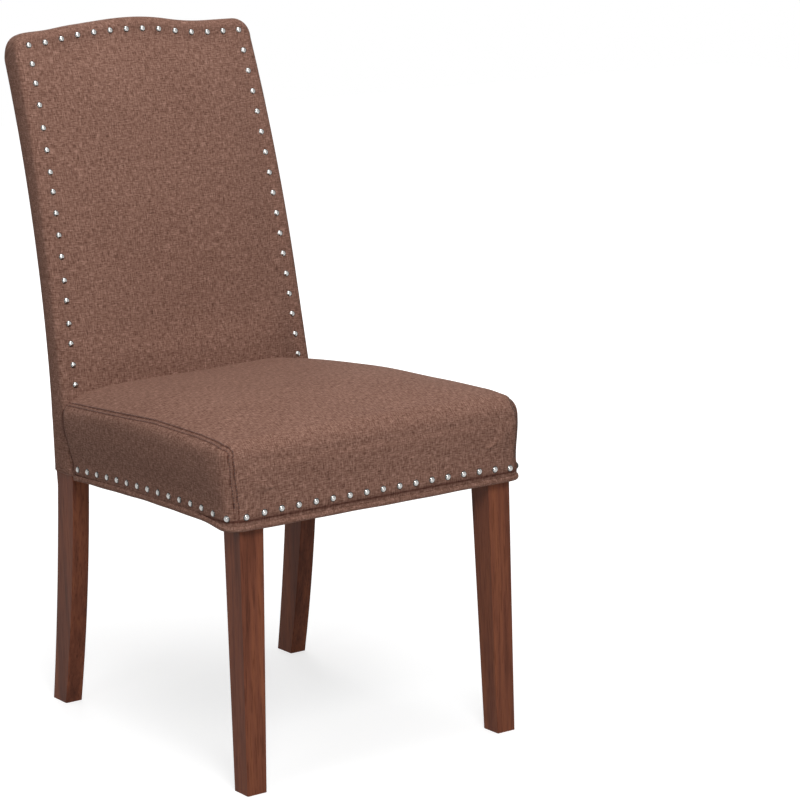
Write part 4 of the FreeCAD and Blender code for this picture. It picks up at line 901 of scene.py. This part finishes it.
def outside_back_panel():
    """Thin closed panel over the rear of the back, on a grid of shares across and up.

    Its rim is rounded by sqrt(1 - (1 - d / 4 mm)^2) of the distance d from it, and dips into the back.
    """
    rim = np.array([0.0004, 0.0012, 0.0024, 0.004])
    across = np.sort(np.concatenate([np.linspace(0, 1, 72), rim / 0.4, 1 - rim / 0.4]))
    up = np.sort(np.concatenate([np.linspace(0, 1, 110), rim / 0.6, 1 - rim / 0.6]))
    across, up = np.meshgrid(across, up, indexing="ij")
    low, high = BACK_LOW + 0.002, BACK_TOP - 0.026
    x = (across * 2 - 1) * (back_half(low + (high - low) * up) - REAR_PANEL_INSET)
    aside = back_half(BACK_TOP) - np.abs(x)
    z = low + (high + camel(x) - drop(0.030, aside) - 0.007 * bell(aside, 0.026) - low) * up
    from_side = np.minimum(across, 1 - across) * 2 * (back_half(low) - REAR_PANEL_INSET)
    edge = np.minimum(from_side, np.minimum(up, 1 - up) * 0.61)
    rounding = np.sqrt(np.clip(1 - (1 - np.clip(edge / rim[-1], 0, 1)) ** 2, 0, 1))
    rear = stile_back(z) - ORIGIN_DEPTH
    base = rear + REAR_PAD - 0.0030
    raised = rear + (REAR_PAD + 0.0012) * rounding
    outer = np.stack([x, base + (raised - base) * rounding, z], -1)
    points = np.concatenate([outer.reshape(-1, 3), np.stack([x, base, z], -1).reshape(-1, 3)])
    face = grid_faces(*across.shape, False).reshape(-1, 4)
    faces = np.concatenate([face, face[:, ::-1] + across.size])
    return weld(make_piece("outside_back", points, faces, [linen], points[:, [0, 2]][faces]))


rear_panel = outside_back_panel()
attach(rear_panel, "root")
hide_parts("back_cover_rear")


# Welt: a soft roll along the lower edge of the seat

def seat_outline(offset):
    """Plan path of the cover's face, moved out by an offset: side, corner arc, front, corner arc, side."""
    face = -COVER_PAD - offset
    bend = CORNER_RADIUS + offset
    steps = 60
    slope = math.atan2(RAIL_HALF_FRONT - RAIL_HALF_REAR, SEAT_LENGTH)
    side_y = np.linspace(0.462, face + bend, steps)
    side_x = seat_half(side_y) + offset
    centre_x = side_x[-1] - bend * math.cos(slope)
    angle = np.linspace(0, -math.pi / 2, 14)[1:]
    corner = np.stack([centre_x + bend * np.cos(angle), face + bend + bend * np.sin(angle)], -1)
    right = np.concatenate([np.stack([side_x, side_y], -1), corner])
    front_x = np.linspace(corner[-1, 0], -corner[-1, 0], steps + 1)[1:-1]
    front = np.stack([front_x, face + 0 * front_x], -1)
    left = right[::-1] * [-1, 1]
    return np.concatenate([right, front, left])


def welt_roll():
    """Roll carried along the plan path, of section |cos a|^0.8 by |sin a|^0.8, swelling a little along its way,
    its ends drawn in by a quarter round."""
    path = seat_outline(-0.002)
    tangent = unit(np.gradient(path, axis=0))
    outward = np.stack([-tangent[:, 1], tangent[:, 0]], -1)
    outward *= np.sign(np.sum(outward * (path - [0, 0.2]), axis=1, keepdims=True))
    turns = 20
    count = len(path)
    angle = np.linspace(0, 2 * math.pi, turns, endpoint=False)
    arc = way_along(path)
    swell = 1 + 0.05 * np.sin(arc * 31) + 0.04 * np.sin(arc * 73 + 1)
    ends = np.sqrt(np.clip(1 - (1 - np.clip(np.minimum(arc, arc[-1] - arc) / 0.004, 0, 1)) ** 2, 1e-4, 1))
    sideways, upwards = [np.sign(wave) * np.abs(wave) ** 0.8 for wave in (np.cos(angle), np.sin(angle))]
    reach = (WELT_REACH * swell * ends)[:, None] * sideways
    rise = (WELT_RISE * swell * ends)[:, None] * upwards
    points = np.zeros((count, turns, 3))
    points[..., :2] = path[:, None] + outward[:, None] * reach[..., None]
    points[..., 2] = 0.0040 + rise + edge_bow(path[:, 1])[:, None]
    cloth = np.stack(np.broadcast_arrays(arc[:, None], np.linspace(0, 0.03, turns + 1)), -1)
    piece = make_piece("seat_welting", seat_to_part(points).reshape(-1, 3), grid_faces(count, turns, True), [linen],
                       corner_uv(cloth))
    return weld(piece, 2e-5)


welting = welt_roll()
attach(welting, "root")
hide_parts("seat_welt")


# Nail heads

def nail_heads(name, bases, outwards, replaced):
    """Domes of a (radius, height) profile turned about each nail's axis, their rim pressed into the cloth.

    Painted shade at the rim goes from 0 to 1 where the radius grows from 3.1 to 4.4 mm.
    """
    profile = np.array([(0.0, 2.75), (0.9, 2.68), (1.9, 2.45), (2.9, 2.0), (3.7, 1.4), (4.3, 0.75), (4.7, 0.3),
                        (4.85, 0.0), (4.6, -0.5), (0.0, -0.5)]) * MM
    turns = 20
    up = unit(outwards)
    side = unit(np.cross(up, [0.0, 0.0, 1.0]))
    radius, rise = profile.T[:, None, :, None, None]
    points = bases[:, None, None] + spokes(side, np.cross(side, up), turns) * radius + up[:, None, None] * rise
    # Painted shade: 0 over the dome, 1 at its rim.
    rim_shade = smooth_step((profile[:, 0] - 0.0031) / 0.0013)[None, :, None] * np.ones((len(bases), 1, turns))
    piece = make_piece(name, points.reshape(-1, 3), tube_faces(len(profile), turns, len(bases)), [nickel],
                       attributes={"rim_shade": rim_shade})
    weld(piece)
    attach(piece, "root")
    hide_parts(replaced)
    return piece


def steady(normals, share=0.6):
    """Normals drawn towards their common direction, as nails are driven square to the frame."""
    return normals * (1 - share) + unit(normals.mean(0)) * share


def back_nail_heads(name, spots, replaced):
    """Heads where rays from the front meet the back's cloth at the nail places."""
    starts = np.stack([spots[:, 0], 0 * spots[:, 0] - 0.8, spots[:, 1]], -1)
    places, normals = drop_onto(back_tree, starts, (0, 1, 0))
    nail_heads(name, places, steady(normals), replaced)


def seat_nail_heads(name, spots, direction, replaced):
    """Heads where rays along a direction meet the seat's cloth at the nail places."""
    starts = spots * (1 - np.abs(direction)) - np.array(direction) * 0.6
    places, normals = drop_onto(seat_tree, starts, direction)
    turned = seat_to_part(normals) - seat_to_part(normals * 0)
    nail_heads(name, seat_to_part(places), turned, replaced)


back_nail_heads("back_nail_heads_left", column_nails(-1), "back_nails_left")
back_nail_heads("back_nail_heads_right", column_nails(1), "back_nails_right")
back_nail_heads("back_nail_heads_top", top_nails(), "back_nails_top")
seat_nail_heads("seat_nail_heads_front", front_row, (0, 1, 0), "seat_nails_front")
seat_nail_heads("seat_nail_heads_left", left_row, (1, 0, 0), "seat_nails_left")
seat_nail_heads("seat_nail_heads_right", right_row, (-1, 0, 0), "seat_nails_right")


# Materials of the rigid nodes that stay

FINISHES = [
    (stained, "front_leg_left front_leg_right rear_post_left rear_post_right"),
    (plain_wood, "seat_rail_front seat_rail_rear seat_rail_left seat_rail_right corner_block_front_left "
                 "corner_block_front_right corner_block_rear_left corner_block_rear_right crest_rail "
                 "back_lower_rail frame_dowels"),
    (zinc, "block_screws leg_bolts leg_washers leg_nuts"),
    (strap_cloth, "seat_webbing back_webbing"),
    (dust_cloth, "dust_cover"),
]
for material, names in FINISHES:
    for name in names.split():
        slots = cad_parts[name].data.materials
        if not len(slots):
            slots.append(material)
        for index in range(len(slots)):
            slots[index] = material


# Studio: pale floor, white surround and soft lamps

def make_floor():
    """Grey floor that is seen as white: seen rays get a glow of 0.66 + 0.15 per metre from the middle, 1 at most."""
    floor = make_piece("floor", np.array([(-8, -8, 0), (8, -8, 0), (8, 8, 0), (-8, 8, 0)], float),
                       np.array([[0, 1, 2, 3]]), [])
    material, tree, shader = new_material("pale_floor")
    set_sockets(shader, {"Base Color": (0.42, 0.42, 0.42, 1), "Roughness": 0.9, "Specular IOR Level": 0.1,
                         "Emission Color": (1, 1, 1, 1)})
    away = node(tree, "ShaderNodeVectorMath", operation="LENGTH")
    link(tree, node(tree, "ShaderNodeTexCoord").outputs["Object"], away.inputs[0])
    pale = math_node(tree, "MULTIPLY_ADD", away.outputs["Value"], 0.15, 0.66)
    lift = math_node(tree, "MULTIPLY", seen_rays(tree), math_node(tree, "MINIMUM", pale, 1.0))
    link(tree, lift, shader.inputs["Emission Strength"])
    floor.data.materials.append(material)


def make_world():
    """White where it is seen or mirrored, a dim grey room for everything else."""
    world = bpy.data.worlds.new("studio")
    scene.world = world
    world.use_nodes = True
    tree = world.node_tree
    tree.nodes.clear()
    out = node(tree, "ShaderNodeOutputWorld")
    background = node(tree, "ShaderNodeBackground")
    dim = 0.22
    strength = math_node(tree, "MULTIPLY_ADD", seen_rays(tree), 1 - dim, dim)
    background.inputs[0].default_value = (1, 1, 1, 1)
    link(tree, strength, background.inputs[1])
    link(tree, background.outputs[0], out.inputs[0])


def add_lamp(name, place, aim, size, power):
    """Round soft lamp of a size in metres and a power in watts, turned to its aim."""
    data = bpy.data.lights.new(name, "AREA")
    data.shape = "DISK"
    data.size = size
    data.energy = power
    lamp = bpy.data.objects.new(name, data)
    away = unit(np.array(place) - np.array(aim))
    right = unit(np.cross([0, 0, 1], away))
    lamp.matrix_world = placed(right, np.cross(away, right), away, place)
    scene.collection.objects.link(lamp)


make_floor()
make_world()
add_lamp("key", (-0.9, -2.1, 2.3), (0, 0, 0.5), 1.1, 46)
add_lamp("low", (-0.4, -3.5, 0.6), (0, 0, 0.4), 1.2, 15)
add_lamp("fill", (-3.6, -1.4, 1.9), (0, 0, 0.6), 1.6, 18)
add_lamp("top", (0.0, -0.1, 3.4), (0, 0, 0.5), 1.8, 47)
add_lamp("rear", (1.4, 3.6, 2.2), (0, 0, 0.6), 1.8, 34)

scene.view_settings.view_transform = "Standard"
